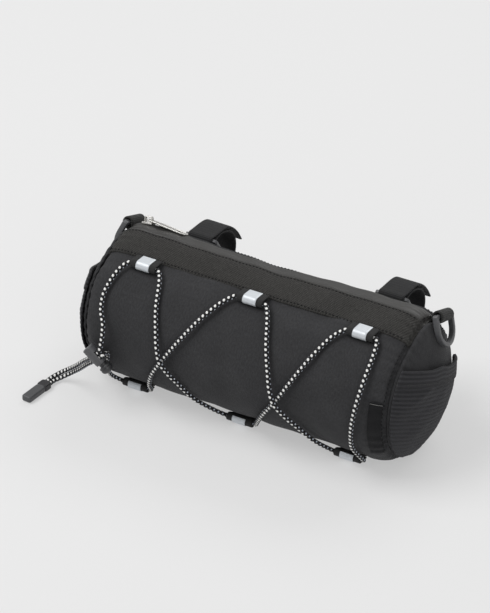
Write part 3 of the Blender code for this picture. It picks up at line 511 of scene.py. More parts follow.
def cord_material():
    """Braided cover: dark yarns laid both ways round, with pale tracer flecks in staggered rows.
    U runs round the cord as a share of a turn, V along it in millimetres."""
    g = Graph("cord_braid")
    u, v = g.uv()
    pitch = 3.7
    lean = g.mul(u, 16 * math.pi)
    step = g.mul(v, 2 * math.pi / pitch * 2)
    left = g.math("SINE", g.add(lean, step))
    right = g.math("SINE", g.sub(lean, step))
    braid = g.mul(left, right)

    def flecks(columns, start, half_width, half_length, shift):
        place = g.add(g.mul(u, columns), start)
        cell = g.math("FLOOR", place)
        side = g.sub(g.sub(place, cell), 0.5)
        odd = g.math("MODULO", g.add(cell, 8.0), 2.0)
        along = g.add(g.math("DIVIDE", v, pitch), g.add(g.mul(odd, 0.5), shift))
        along = g.sub(g.sub(along, g.math("FLOOR", along)), 0.5)
        slant = g.add(along, g.mul(side, 0.10))
        wide = g.math("POWER", g.math("DIVIDE", side, half_width), 2.0)
        long = g.math("POWER", g.math("DIVIDE", slant, half_length), 2.0)
        inside = g.spread(g.add(wide, long), 0.7, 1.15, 1.0, 0.0)
        return inside, odd

    white, odd = flecks(4, 0.5, 0.46, 0.26, 0.0)
    blue = flecks(4, 0.5, 0.30, 0.17, 0.0)[0]
    inside = g.add(g.mul(white, g.sub(1.0, odd)), g.mul(blue, odd))
    uneven = g.noise(g.join(g.mul(u, 10), v), 1.4, 3.0, 0.6)
    dark = g.shade((0.012, 0.012, 0.013), g.spread(braid, -1, 1, 0.55, 1.6))
    pale = g.mix(odd, (0.93, 0.93, 0.91), (0.56, 0.60, 0.68))
    pale = g.shade(pale, g.vary(uneven, 0.85, 1.1))
    g.set(Base_Color=g.mix(inside, dark, pale), Roughness=g.vary(uneven, 0.6, 0.75))
    g.set(Sheen_Weight=0.05, Specular_IOR_Level=0.2)
    g.set(Normal=g.bump(g.add(braid, g.mul(inside, 0.8)), 0.00012))
    return g.material


# Mesh building


def mesh_object(name, verts, faces, uvs, material, body="bag", replaces=()):
    """A piece from points and faces; uvs gives each vertex its cloth coordinates in millimetres."""
    mesh = bpy.data.meshes.new(name)
    mesh.from_pydata([tuple(v) for v in verts], [], faces)
    layer = mesh.uv_layers.new(name="cloth")
    loops = [uvs[loop.vertex_index] for loop in mesh.loops]
    layer.data.foreach_set("uv", [value for pair in loops for value in pair])
    mesh.polygons.foreach_set("use_smooth", [True] * len(mesh.polygons))
    mesh.materials.append(material)
    mesh.update()
    obj = bpy.data.objects.new(name, mesh)
    bpy.context.scene.collection.objects.link(obj)
    return finish_piece(obj, body, replaces)


def finish_piece(obj, body, replaces):
    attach(obj, body)
    if replaces:
        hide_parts(*replaces)
    return obj


def grid_faces(columns, rows, wrap=False):
    """Quads of a grid stored column by column, its second direction closed if wrap is set."""
    faces = []
    for i in range(columns - 1):
        for j in range(rows if wrap else rows - 1):
            k = (j + 1) % rows
            faces.append((i * rows + j, i * rows + k, (i + 1) * rows + k, (i + 1) * rows + j))
    return faces


def sheet(name, place, columns, rows, wall, material, replaces, flip=False):
    """A cloth panel from a function of two shares that gives a point, its normal and its cloth coordinates.
    The wall is set inward and its edges are closed with side faces."""
    outer, inner, uvs = [], [], []
    for i in range(columns):
        for j in range(rows):
            point, normal, uv = place(i / (columns - 1), j / (rows - 1))
            outer.append(point)
            inner.append(point - normal * wall)
            uvs.append(uv)
    faces = grid_faces(columns, rows)
    count = len(outer)
    back = [tuple(count + k for k in reversed(face)) for face in faces]
    rim = [j for j in range(rows)]
    rim += [i * rows + rows - 1 for i in range(1, columns)]
    rim += [(columns - 1) * rows + j for j in range(rows - 2, -1, -1)]
    rim += [i * rows for i in range(columns - 2, 0, -1)]
    sides = []
    for a, b in zip(rim, rim[1:] + rim[:1]):
        sides.append((b, a, count + a, count + b))
    everything = faces + back + sides
    if flip:
        everything = [tuple(reversed(face)) for face in everything]
    return mesh_object(name, outer + inner, everything, uvs + uvs, material, "bag", replaces)


def tape(name, path, across, width, wall, material, replaces, columns=10, lift=None):
    """Flat webbing along a path: a closed band with rounded selvedges. lift(u, v) raises its faces."""
    edge = 3
    half = width / 2
    around = []
    for k in range(columns + 1):
        share = -1 + 2 * k / columns
        around.append((share * (half - wall / 2), wall / 2, share * half, 1))
    for k in range(1, edge):
        turned = math.pi / 2 - math.pi * k / edge
        around.append((half - wall / 2 + math.cos(turned) * wall / 2, math.sin(turned) * wall / 2, half, 0))
    for k in range(columns + 1):
        share = 1 - 2 * k / columns
        around.append((share * (half - wall / 2), -wall / 2, share * half, -1))
    for k in range(1, edge):
        turned = -math.pi / 2 - math.pi * k / edge
        around.append((-half + wall / 2 + math.cos(turned) * wall / 2, math.sin(turned) * wall / 2, -half, 0))
    verts, uvs = [], []
    travelled = 0.0
    for index, point in enumerate(path):
        before = path[max(index - 1, 0)]
        after = path[min(index + 1, len(path) - 1)]
        if index:
            travelled += (point - before).length
        way = (after - before).normalized()
        side = across(index) if callable(across) else across
        side = (side - way * side.dot(way)).normalized()
        normal = way.cross(side).normalized()
        for sideways, up, u, face in around:
            rise = lift(u, travelled) * face if lift else 0.0
            verts.append(point + side * sideways + normal * (up + rise))
            uvs.append((u / MM, travelled / MM))
    count = len(around)
    faces = [tuple(reversed(face)) for face in grid_faces(len(path), count, wrap=True)]
    faces.append(tuple(range(count)))
    faces.append(tuple(reversed(range((len(path) - 1) * count, len(path) * count))))
    return mesh_object(name, verts, faces, uvs, material, "bag", replaces)


def tube(name, path, normals, diameter, material, replaces, relief):
    """A round cord along a path. U runs round it from the given outward direction, V along it."""
    sides = 14
    verts, uvs = [], []
    travelled = 0.0
    for index, point in enumerate(path):
        before = path[max(index - 1, 0)]
        after = path[min(index + 1, len(path) - 1)]
        if index:
            travelled += (point - before).length
        way = (after - before).normalized()
        out = normals[index] - way * normals[index].dot(way)
        out.normalize()
        beside = way.cross(out)
        for k in range(sides + 1):
            share = k / sides
            turned = 2 * math.pi * share
            lean = 16 * math.pi * share
            step = travelled / MM * 4 * math.pi / 3.5
            radius = diameter / 2 + relief * math.sin(lean + step) * math.sin(lean - step)
            verts.append(point + (out * math.cos(turned) + beside * math.sin(turned)) * radius)
            uvs.append((share, travelled / MM))
    ring = sides + 1
    faces = []
    for i in range(len(path) - 1):
        for j in range(sides):
            faces.append((i * ring + j, (i + 1) * ring + j, (i + 1) * ring + j + 1, i * ring + j + 1))
    faces = [tuple(reversed(face)) for face in faces]
    last = (len(path) - 1) * ring
    faces.append(tuple(reversed(range(sides))))
    faces.append(tuple(last + k for k in range(sides)))
    return mesh_object(name, verts, faces, uvs, material, "bag", replaces)


def stitches(name, places, length, width, material):
    """A row of stitches: each place gives a point, the way its thread runs and the way out of the cloth."""
    verts, faces, uvs = [], [], []
    for point, way, out in places:
        side = way.cross(out).normalized()
        start = len(verts)
        for share, rise in ((-0.5, -0.35), (-0.3, 0.30), (0.0, 0.5), (0.3, 0.30), (0.5, -0.35)):
            middle = point + way * (share * length) + out * (rise * width)
            for turned in (0, 60, 120, 180, 240, 300):
                radius = width / 2 * (0.6 if abs(share) == 0.5 else 1)
                across = side * math.cos(math.radians(turned)) + out * math.sin(math.radians(turned))
                verts.append(middle + across * radius)
                uvs.append((share * length / MM, turned / 360))
        for ring in range(4):
            for k in range(6):
                a = start + ring * 6 + k
                b = start + ring * 6 + (k + 1) % 6
                faces.append((a, b, b + 6, a + 6))
        faces.append(tuple(start + k for k in reversed(range(6))))
        faces.append(tuple(start + 24 + k for k in range(6)))
    return mesh_object(name, verts, faces, uvs, material, "bag")


make_camera()
make_studio()

NYLON = cloth("shell_nylon", (0.035, 0.035, 0.037), 0.55, 0.00005, mottle=0.18)
BAND = cloth("band_nylon", (0.034, 0.033, 0.031), 1.9, 0.00024, twill=0.5, mottle=0.30)
TAPE = coated_material()
POCKET = ribbed_material()
WEBBING = webbing_material("strap_webbing", (0.024, 0.024, 0.025), 1.15)
GROSGRAIN = webbing_material("loop_grosgrain", (0.026, 0.026, 0.026), 0.8, 0.00008)
REFLECTIVE = reflective_material()
MOULDED = moulded_material("moulded_plastic", (0.075, 0.076, 0.080))
CORD_END_PLASTIC = moulded_material("cord_end_plastic", (0.060, 0.061, 0.064), 0.5)
METAL = metal_material("plated_metal", (0.62, 0.61, 0.58), (0.72, 0.71, 0.68))
BRAID = cord_material()
THREAD = cloth("thread", (0.007, 0.007, 0.008), 0.3, 0.00004, mottle=0.2)
LABEL = cloth("label_cloth", (0.010, 0.010, 0.011), 0.4, 0.00004, mottle=0.12)
TAB_WEBBING = webbing_material("tab_webbing", (0.032, 0.032, 0.031), 1.15)
PALE_THREAD = cloth("pale_thread", (0.075, 0.073, 0.070), 0.3, 0.00004, mottle=0.2)
LABEL_THREAD = cloth("label_thread", (0.30, 0.30, 0.29), 0.3, 0.00004, mottle=0.15)
BUTTON_PLASTIC = moulded_material("button_plastic", (0.034, 0.035, 0.037), 0.38)
MOUTH_PLASTIC = moulded_material("cord_end_mouth_plastic", (0.018, 0.018, 0.020), 0.45)
WEB_METAL = metal_material("recessed_metal", (0.30, 0.29, 0.27), (0.44, 0.43, 0.41))


# The laced cord and its free strands


def lock_frame():
    z_axis = LOCK_AXIS
    x_axis = z_axis.cross(LOCK_OUT).normalized()
    matrix = Matrix((x_axis, z_axis.cross(x_axis), z_axis)).transposed().to_4x4()
    matrix.translation = LOCK_CENTRE
    return matrix


def strand_offset(strand):
    return strand * (CORD + CLEARANCE) / 2


def tail_places(strand):
    mouth = CORD_END_AT + Z_AXIS * (CORD_END_HEIGHT / 2)
    centres = [LOCK_CENTRE, *TAIL_ROUTE, mouth, mouth + CORD_END_DIRECTION * CORD]
    at_floor = Z_AXIS.cross(CORD_END_DIRECTION)
    places = []
    for index in range(1, len(centres) - 1):
        share = index / (len(centres) - 2)
        way = (centres[index + 1] - centres[index - 1]).normalized()
        beside = LOCK_AXIS * (1 - share) + at_floor * share
        beside = (beside - way * beside.dot(way)).normalized()
        places.append(centres[index] + beside * strand_offset(strand))
    return places


def outward(point):
    """The way off the bag's axis, used to keep a cord's pattern turned outward."""
    away = Vector((0, point.y, point.z - AXIS_HEIGHT))
    if abs(point.x) > HALF_LENGTH:
        away.x = point.x - math.copysign(HALF_LENGTH, point.x)
    return away.normalized()


def make_cords():
    matrix = lock_frame()
    at = LOCK_LENGTH / 2 - HOLE_TO_RIM
    radius = LOCK_DIAMETER / 2

    def in_lock(along_hole, strand):
        return matrix @ Vector((along_hole, 0, at + strand_offset(strand)))

    route = [lifted(point.x, point.angle, point.lift) for point in CORD_ROUTE]
    start = [in_lock(-CLEARANCE / 2, -1), in_lock(-radius, -1), in_lock(-radius - CORD, -1)]
    end = [in_lock(-radius - CORD, 1), in_lock(-radius, 1), in_lock(-CLEARANCE / 2, 1)]
    path = smooth(smooth(start + route + end, 0.0130), 0.0006)
    normals = [outward(point) for point in path]
    tube("bungee_cord_braid", path, normals, CORD, BRAID, ("bungee_cord",), BRAID_RELIEF)
    for name, strand in (("a", -1), ("b", 1)):
        first = [in_lock(CLEARANCE / 2, strand), in_lock(radius + CLEARANCE, strand)]
        path = smooth(smooth(first + tail_places(strand), 0.0075), 0.0006)
        normals = [Vector((0.3, -0.6, 0.75)).normalized() for point in path]
        replaced = ("cord_tail_" + name,)
        piece = tube("cord_strand_" + name, path, normals, CORD, BRAID, replaced, BRAID_RELIEF)
    return matrix


# Cloth that lies on the barrel


Anchor = namedtuple("Anchor", "x angle reach")
ANCHORS = [Anchor(*row) for row in (
    (-0.085, -26, 0.015), (0.003, -26, 0.015), (0.091, -26, 0.015), (-0.088, -146, 0.015),
    (0.000, -146, 0.015), (0.088, -146, 0.015), (-0.079, 66, 0.016), (0.079, 66, 0.016),
    (-0.079, 108, 0.016), (0.079, 108, 0.016), (-0.109, 17, 0.012),
)]


def route_tree():
    feet = [skin(point.x, point.angle) for point in CORD_ROUTE]
    path = smooth(feet, 0.002)
    tree = kdtree.KDTree(len(path))
    for index, point in enumerate(path):
        tree.insert(point, index)
    tree.balance()
    return tree


CORD_TREE = route_tree()

# How far the cloth's hollows, slanting folds and fine unevenness rise, and the gathers at its ends
HOLLOWS = 0.0013
SLANT_FOLDS = 0.0009
FINE_RELIEF = 0.00012
GATHERS = 0.00030
GATHER_PITCH = 0.00125
# The cord's groove in the cloth, and the wider valley round it: depth and half width
GROOVE = (0.00055, 0.0027)
VALLEY = (0.00040, 0.0085)


def held_flat(x, angle):
    """How free the cloth is to move, from 0 where something is sewn to it to 1."""
    free = 1.0
    for anchor in ANCHORS:
        away = math.hypot(x - anchor.x, math.radians(turn(angle - anchor.angle)) * BAG_RADIUS)
        free *= 1 - bell((away / anchor.reach) ** 2)
    return free


def soft(x, angle, point):
    """How far the cloth stands off its plain form: hollows, folds, gathers at the ends, the cord's groove."""
    around = math.radians(angle) * BAG_RADIUS
    broad = unevenness(x / 0.046, around / 0.036, 1.7) * HOLLOWS - 0.0003
    slanting = ((x + around * 0.6) / 0.017, (around - x * 0.4) / 0.046, 9.3)
    slant = noise.noise(Vector(slanting)) * SLANT_FOLDS
    fine = unevenness(x / 0.012, around / 0.010, 5.1) * FINE_RELIEF
    waver = unevenness(around / 0.02, x / 0.05, 2.2)
    gathers = GATHERS * bell((HALF_LENGTH - abs(x)) / 0.013) * math.sin(around / GATHER_PITCH + waver * 5)
    rise = (broad + slant + fine) * held_flat(x, angle) + gathers
    rise *= min(max((point.z - 0.0015) / 0.010, 0), 1)
    away = CORD_TREE.find(point)[2]
    return rise - sum(depth * bell(away / width) for depth, width in (GROOVE, VALLEY))


def cloth_place(x, angle, lift=0.0):
    """A point of the cloth with its normal, folds and all."""
    point = skin(x, angle)
    normal = skin_normal(x, angle)
    placed = point + normal * (soft(x, angle, point) + lift)
    placed.z = max(placed.z, 0.00002)
    return placed, normal


def seam_place(share):
    """Place along the barrel for a share from 0 to 1, with columns gathered where the ends round over."""
    side = 2 * share - 1
    flat = 0.74
    straight = HALF_LENGTH - SEAM_LIP - END_ROUNDING
    if abs(side) <= flat:
        place = straight * abs(side) / flat
    else:
        turned = (abs(side) - flat) / (1 - flat) * math.pi / 2
        place = straight + (HALF_LENGTH - straight) * math.sin(turned)
    return math.copysign(place, side)


def end_groove(x):
    """The cloth dips where it turns into the end seam."""
    return -0.0013 * bell((HALF_LENGTH - abs(x)) / 0.0011)


def barrel_panel(name, first, last, columns, rows, wall, material, slot, replaced, raise_cloth):
    def place(s, t):
        x = seam_place(s)
        angle = first + (last - first) * t
        point, normal = cloth_place(x, angle, raise_cloth(angle) + end_groove(x))
        return point, normal, (x / MM, math.radians(angle) * BAG_RADIUS / MM)

    sheet(name, place, columns, rows, wall, material, (replaced,))


def arc_mm(angle, seam):
    """Distance round the barrel from a seam, in millimetres."""
    return math.radians(angle - seam) * BAG_RADIUS / MM


def shell_raise(angle):
    """The shell's rear edge is folded over the zip tape, and its front edge runs under the band."""
    fold = arc_mm(angle, TAPE_REAR - 1.0)
    rise = 0.0007 * (1 - bell(max(fold, 0) / 0.5)) * bell(max(fold - 5, 0) / 5)
    rise -= 0.00022 * bell((fold - 2.6) / 0.5)
    front = arc_mm(360 + BAND_SEAM, angle)
    return rise - 0.0004 * bell(max(front, 0) / 1.2)


def band_raise(angle):
    """The band's two edges are folded and topstitched."""
    lower = arc_mm(angle, BAND_SEAM - 0.9)
    upper = arc_mm(TAPE_FRONT + 0.6, angle)
    rise = 0.0008 * (1 - bell(max(lower, 0) / 0.45)) * (1 - bell(max(upper, 0) / 0.45))
    rise -= 0.00025 * bell((lower - 2.2) / 0.45) + 0.00025 * bell((upper - 2.4) / 0.45)
    return rise


def tape_raise(angle):
    """The tapes swell over the coil, dip where they meet and dip again under the folded edges beside them."""
    off = arc_mm(angle, ZIP_LINE)
    beside = min(arc_mm(angle, TAPE_FRONT), arc_mm(TAPE_REAR, angle))
    swell = 0.0010 * bell(off / 3.4) - 0.0010 * bell(off / 0.35)
    return swell - 0.0002 - 0.0009 * bell(max(beside - 0.6, 0) / 0.9)


def make_barrel_cloth():
    """The four panels. Their edges turn under, lap or part by these few degrees."""
    fold = 1.0
    hem = 0.9
    under = 2.0
    gap = 0.10
    shell = (TAPE_REAR - fold, 360 + BAND_SEAM + fold, 230, 300, 0.0012, NYLON, "shell_cloth")
    barrel_panel("shell_cloth", *shell, "barrel_shell", shell_raise)
    band = (BAND_SEAM - hem, TAPE_FRONT + 0.6, 230, 60, 0.0013, BAND, "band_cloth")
    barrel_panel("band_cloth", *band, "top_band", band_raise)
    front = ("zip_tape_front", TAPE_FRONT - under, ZIP_LINE - gap)
    rear = ("zip_tape_rear", ZIP_LINE + gap, TAPE_REAR + under)
    for name, first, last in (front, rear):
        barrel_panel(name + "_cloth", first, last, 200, 44, 0.0010, TAPE, "zip_tape", name, tape_raise)


# The pitch and length of the seams' stitches
SEAM_PITCH = 0.0028
SEAM_STITCH = 0.0018


def stitch_on_cloth(x, angle, lift, along=0.0, around=0.0, sink=0.0):
    """A stitch's place on the cloth, the way its thread runs and sinks, and the way out of the cloth."""
    point, normal = cloth_place(x, angle, lift)
    ahead = cloth_place(x + along, angle + around, lift - sink)[0]
    return point, (ahead - point).normalized(), normal


def seam_stitches(name, angle, width, lift):
    """A row of stitches along the barrel at one angle."""
    places = []
    x = -HALF_LENGTH + 0.004
    while x < HALF_LENGTH - 0.004:
        places.append(stitch_on_cloth(x, angle, lift, along=0.0008))
        x += SEAM_PITCH
    stitches(name, places, SEAM_STITCH, width, THREAD)


def end_stitches(name, side):
    """The needle marks of the end seam, just inside the barrel's edge."""
    x = side * (HALF_LENGTH - 0.0016)
    count = 104
    angles = [-180 + 360 * (step + 0.5) / count for step in range(count)]
    sink = 0.0001
    places = [stitch_on_cloth(x, angle, end_groove(x) + sink, around=0.8, sink=sink) for angle in angles]
    places = [place for place in places if place[0].z > 0.004]
    stitches(name, places, SEAM_STITCH, 0.0005, THREAD)


# Ends and their pockets


POCKET_MOUTH = 0.0198
POCKET_SLANT = 22.0
HEM_HEIGHT = 0.0125
HEM_WALL = 0.0020
# The hem's stitches: how far below the mouth they run and how far across they reach, in millimetres
HEM_STITCHES = 9.6
HEM_STITCH_REACH = 40
HEM_STITCH_COUNT = 38
POCKET_WALL = 0.0012
POCKET_PUFF = 0.0016
POCKET_EASE = 0.0008
POCKET_INSET = 0.0012
RIB_PITCH = 3.0
HEM_RIB_PITCH = 2.45


def end_cloth(name, side):
    def place(s, t):
        u = 2 * s - 1
        v = 2 * t - 1
        back = u * math.sqrt(1 - v * v / 2)
        up = v * math.sqrt(1 - u * u / 2)
        reach = math.hypot(back, up)
        angle = math.atan2(back, up)
        around = angle * SEAM_RADIUS
        gathers = 0.00030 * bell((1 - reach) / 0.13) * math.sin(around / 0.0013 + side)
        broad = unevenness(back * 2.1, up * 2.1, 4.4 * side) * 0.0009
        fine = unevenness(back * 6, up * 6, 7.7 * side) * 0.00025
        edge = 1 - bell((1 - reach) / 0.05)
        base = dome(side, back, up)
        normal = (lifted_dome(side, back, up, 0.001) - base).normalized()
        dip = 0.0012 * bell((1 - reach) / 0.022)
        inward = Vector((0, -base.y, AXIS_HEIGHT - base.z)).normalized()
        point = base + normal * ((broad + fine) * edge + gathers) + inward * dip
        point.z = max(point.z, 0.00005)
        return point, normal, (back * SEAM_RADIUS / MM, up * SEAM_RADIUS / MM)

    replaced = ("end_panel_" + name,)
    sheet("end_cloth_" + name, place, 110, 110, 0.0012, NYLON, replaced, flip=side < 0)


def pocket_level(below):
    """A line this far below a pocket's mouth: its height on the end panel and its half width."""
    widest = 1 - POCKET_INSET / SEAM_RADIUS
    level = (below * MM - POCKET_MOUTH) / SEAM_RADIUS
    return level, math.sqrt(max(widest * widest - level * level, 0.0004))


def pocket_place(side, across, below, wall, rise):
    """A point on a pocket: across it as a share of its half width, below its mouth in millimetres."""
    slant = math.radians(POCKET_SLANT)
    along = Vector((math.cos(slant), -math.sin(slant)))
    down = Vector((-math.sin(slant), -math.cos(slant)))
    widest = 1 - POCKET_INSET / SEAM_RADIUS
    mouth = -POCKET_MOUTH / SEAM_RADIUS
    level, half = pocket_level(below)
    spot = along * (across * half) + down * level
    puff = POCKET_PUFF * (1 - across**2) * (1 - ((level - mouth) / (widest - mouth)) ** 2)
    across_mm = across * half * SEAM_RADIUS / MM
    lift = CLEARANCE + POCKET_EASE + wall + puff + rise(across_mm, below, across)
    point = lifted_dome(side, spot.x, spot.y, lift)
    normal = (lifted_dome(side, spot.x, spot.y, lift + MM) - point).normalized()
    return point, normal, across_mm


def pocket_cloth(name, side, part_name, first, last, rows, wall, replaces, relief):
    def place(s, t):
        below = (first + (last - first) * t) / MM
        point, normal, across = pocket_place(side, 2 * s - 1, below, wall, relief)
        point.z = max(point.z, 0.0003)
        return point, normal, (across, below)

    sheet(part_name + name, place, 96, rows, wall, POCKET, replaces, flip=side > 0)


def ribs(distance, pitch, height):
    """Rounded ribs: full between sharp furrows."""
    return height * (abs(math.sin(math.pi * distance / pitch)) ** 0.6 - 0.6)


# Long folds: how far below the mouth they start and their width in millimetres, their height and their slope
POCKET_FOLDS = ((22, 0.0009, 3.2, 0.62), (34, -0.0007, 4.0, 0.52), (48, 0.0006, 4.5, 0.40))


def pocket_folds(across, below):
    """Slack in the pocket: long folds that run up from its front corner, and soft puckers at its seam."""
    rise = 0.0
    for start, height, width, lean in POCKET_FOLDS:
        line = below - start + lean * (across + 30)
        rise += height * bell(line / width) * bell((across + 12) / 26)
    rise += unevenness(across / 15, below / 11, 3.3) * 0.0007
    return rise


def pocket_relief(across, below, share):
    edge = 1 - bell((1 - abs(share)) / 0.06)
    waver = unevenness(across / 18, below / 30, 6.1) * 0.5
    return ribs(below + waver, RIB_PITCH, 0.00042) + pocket_folds(across, below) * edge


def hem_relief(across, below, share):
    top = 0.0006 * bell(below / 1.0)
    stitch_line = -0.0003 * bell((below - HEM_STITCHES) / 0.5)
    wander = unevenness(across / 16, 1.5, 2.5) * 0.0004
    return ribs(below, HEM_RIB_PITCH, 0.00022) + top + stitch_line + wander


def make_end_cloth(name, side):
    end_cloth(name, side)
    depth = POCKET_MOUTH + SEAM_RADIUS - 2 * POCKET_INSET
    hem = ("pocket_hem_" + name,)
    pocket = ("pocket_" + name,)
    pocket_cloth(name, side, "pocket_hem_cloth_", 0, HEM_HEIGHT, 44, HEM_WALL, hem, hem_relief)
    pocket_cloth(name, side, "pocket_cloth_", HEM_HEIGHT, depth, 170, POCKET_WALL, pocket, pocket_relief)
    places = []
    half_width = pocket_level(HEM_STITCHES)[1] * SEAM_RADIUS / MM
    for step in range(HEM_STITCH_COUNT):
        across = HEM_STITCH_REACH * (2 * step / (HEM_STITCH_COUNT - 1) - 1) / half_width
        point, normal = pocket_place(side, across, HEM_STITCHES, HEM_WALL + 0.00005, hem_relief)[:2]
        across += 0.8 / half_width
        ahead = pocket_place(side, across, HEM_STITCHES, HEM_WALL + 0.00005, hem_relief)[0]
        places.append((point, (ahead - point).normalized(), normal))
    stitches("hem_stitches_" + name, places, 0.0013, 0.0004, PALE_THREAD)
    end_stitches("end_stitches_" + name, side)


# Webbing: ring tabs, bar straps and keepers


TAB_ANGLE = 29.0
TAB_TILT = 22.0
TAB_OUT = 0.0046
TAB_RISE = 0.0054
TAB_WIDTH = 0.020
WEBBING_WALL = 0.0015
D_RING_OPENING = 0.0222
D_RING_WIRE = 0.0030
D_RING_DEPTH = 0.0042
D_RING_DROP = 0.0080
D_RING_CORNER = 0.0022
D_RING_HANG = 21.0
STRAP_AT = 0.079
STRAP_WIDTH = 0.020
STRAP_WALL = 0.0014
KEEPER_WALL = 0.0012
RING_ANGLE = 57.5
RING_LEAN = 33.0
RING_OPENING = 0.0218
RING_GAP = 0.0082
RING_WIRE = 0.0026
RING_CORNER = 0.0022
KEEPER_REACH = 12.0
StrapPoint = namedtuple("StrapPoint", "back up")
STRAP_UNDER = [StrapPoint(*row) for row in (
    (1.075, -0.085), (1.195, 0.020), (1.300, 0.160), (1.345, 0.320), (1.320, 0.470), (1.230, 0.590),
    (1.085, 0.668), (0.930, 0.695),
)]
STRAP_ROOT_ANGLES = (116, 108, 101)
STRAP_TIP = [StrapPoint(*row) for row in (
    (1.130, 0.712), (1.290, 0.610), (1.410, 0.480), (1.500, 0.335),
)]


def webbing_ribs(u, travelled):
    return 0.00007 * math.sin(2 * math.pi * travelled / 0.00115)


def tab_frame(side):
    seam = skin(HALF_LENGTH, TAB_ANGLE)
    turned = math.radians(TAB_ANGLE)
    off = Vector((0, math.sin(turned), math.cos(turned)))
    centre = Vector((side * (HALF_LENGTH + TAB_OUT), seam.y, seam.z)) + off * TAB_RISE
    tilt = math.radians(TAB_TILT)
    bar = Vector((0, math.cos(tilt), -math.sin(tilt)))
    up = Vector((0, math.sin(tilt), math.cos(tilt)))
    return centre, bar, up, X_AXIS * side


def make_tab(name, side):
    centre, bar, up, out = tab_frame(side)
    reach = math.hypot(D_RING_WIRE, D_RING_DEPTH) / 2 + CLEARANCE + WEBBING_WALL / 2
    ends_apart = WEBBING_WALL + CLEARANCE
    seam_angle = math.degrees(math.atan2(-TAB_RISE, -TAB_OUT)) + 8
    toward = Vector((math.cos(math.radians(seam_angle)), math.sin(math.radians(seam_angle))))
    beside = Vector((-toward.y, toward.x))
    depth = math.hypot(TAB_OUT, TAB_RISE) + WEBBING_WALL * 0.6
    loop = [toward * depth + beside * (ends_apart / 2)]
    loop += arc((0, 0), reach, seam_angle + 46, seam_angle + 314, 34)
    loop += [toward * depth - beside * (ends_apart / 2)]
    corners = [centre + out * place.x + up * place.y for place in loop]
    path = smooth(corners, 0.0005)
    tape(
        "ring_tab_webbing_" + name, path, bar, TAB_WIDTH, WEBBING_WALL, TAB_WEBBING,
        ("ring_tab_" + name,), columns=12, lift=webbing_ribs,
    )


def ring_bars():
    seat = CLEARANCE * 2 + KEEPER_WALL + RING_WIRE * 0.65
    lower = lifted(STRAP_AT, RING_ANGLE, seat)
    lean = math.radians(RING_LEAN)
    along = Vector((0, -math.sin(lean), math.cos(lean)))
    return Vector((0, lower.y, lower.z)), along, RING_GAP + RING_WIRE


def strap_place(point):
    return Vector((0, point.back * BAG_RADIUS, AXIS_HEIGHT + point.up * BAG_RADIUS))


def strap_path():
    lower, along, span = ring_bars()
    bar = lower + along * span
    reach = RING_WIRE * 0.65 + CLEARANCE + STRAP_WALL / 2
    root_lift = CLEARANCE + STRAP_WALL / 2
    root = [lifted(STRAP_AT, angle, root_lift) for angle in STRAP_ROOT_ANGLES]
    under = [Vector((0, place.y, place.z)) for place in root]
    under += [strap_place(point) for point in STRAP_UNDER]
    wrap = [Vector((0, place.x, place.y)) for place in arc((bar.y, bar.z), reach, -80, -275, 20)]
    over = [strap_place(point) for point in STRAP_TIP]
    first = smooth(under + wrap[:1], 0.0007)
    last = smooth(wrap[-1:] + over, 0.0007)
    return smooth(first[:-1] + wrap + last[1:], 0.0007)


def make_strap(name, side):
    """The strap bends a little unevenly across its width, as stiff webbing does."""
    path = []
    for place in strap_path():
        path.append(place + X_AXIS * (side * STRAP_AT))
    skew = unevenness(side * 3.1, 0.4, 0.2) * 0.05

    def across(index):
        share = index / len(path)
        return (X_AXIS + Z_AXIS * (skew * math.sin(share * 5))).normalized()

    tape(
        "bar_strap_webbing_" + name, path, across, STRAP_WIDTH, STRAP_WALL, WEBBING,
        ("bar_strap_" + name,), columns=14, lift=webbing_ribs,
    )


def make_keeper(name, side):
    lower = ring_bars()[0]
    reach = RING_WIRE * 0.65 + CLEARANCE + KEEPER_WALL / 2
    bar = Vector((lower.y, lower.z))
    radial = math.degrees(math.atan2(lower.z - AXIS_HEIGHT, lower.y))
    wrap = arc(bar, reach, radial - 10, radial + 180, 20)
    inner_lift = CLEARANCE + KEEPER_WALL / 2
    outer_lift = inner_lift + KEEPER_WALL + CLEARANCE
    start = RING_ANGLE + degrees_for(0.004)
    stop = start + KEEPER_REACH
    outer = [lifted(STRAP_AT, angle, outer_lift) for angle in (stop, (start + stop) / 2)]
    inner = [lifted(STRAP_AT, angle, inner_lift) for angle in (start, (start + stop) / 2, stop)]
    points = [Vector((place.y, place.z)) for place in outer] + wrap
    points += [Vector((place.y, place.z)) for place in inner]
    path = smooth([Vector((side * STRAP_AT, place.x, place.y)) for place in points], 0.0006)
    tape(
        "ring_keeper_webbing_" + name, path, X_AXIS, STRAP_WIDTH, KEEPER_WALL, WEBBING,
        ("ring_keeper_" + name,), columns=12, lift=webbing_ribs,
    )
    sew_box("keeper_stitches_" + name, side * STRAP_AT, start + 2.5, stop - 1.0, outer_lift + KEEPER_WALL / 2)
    sew_box("root_stitches_" + name, side * STRAP_AT, 103.0, 114.5, CLEARANCE + STRAP_WALL)


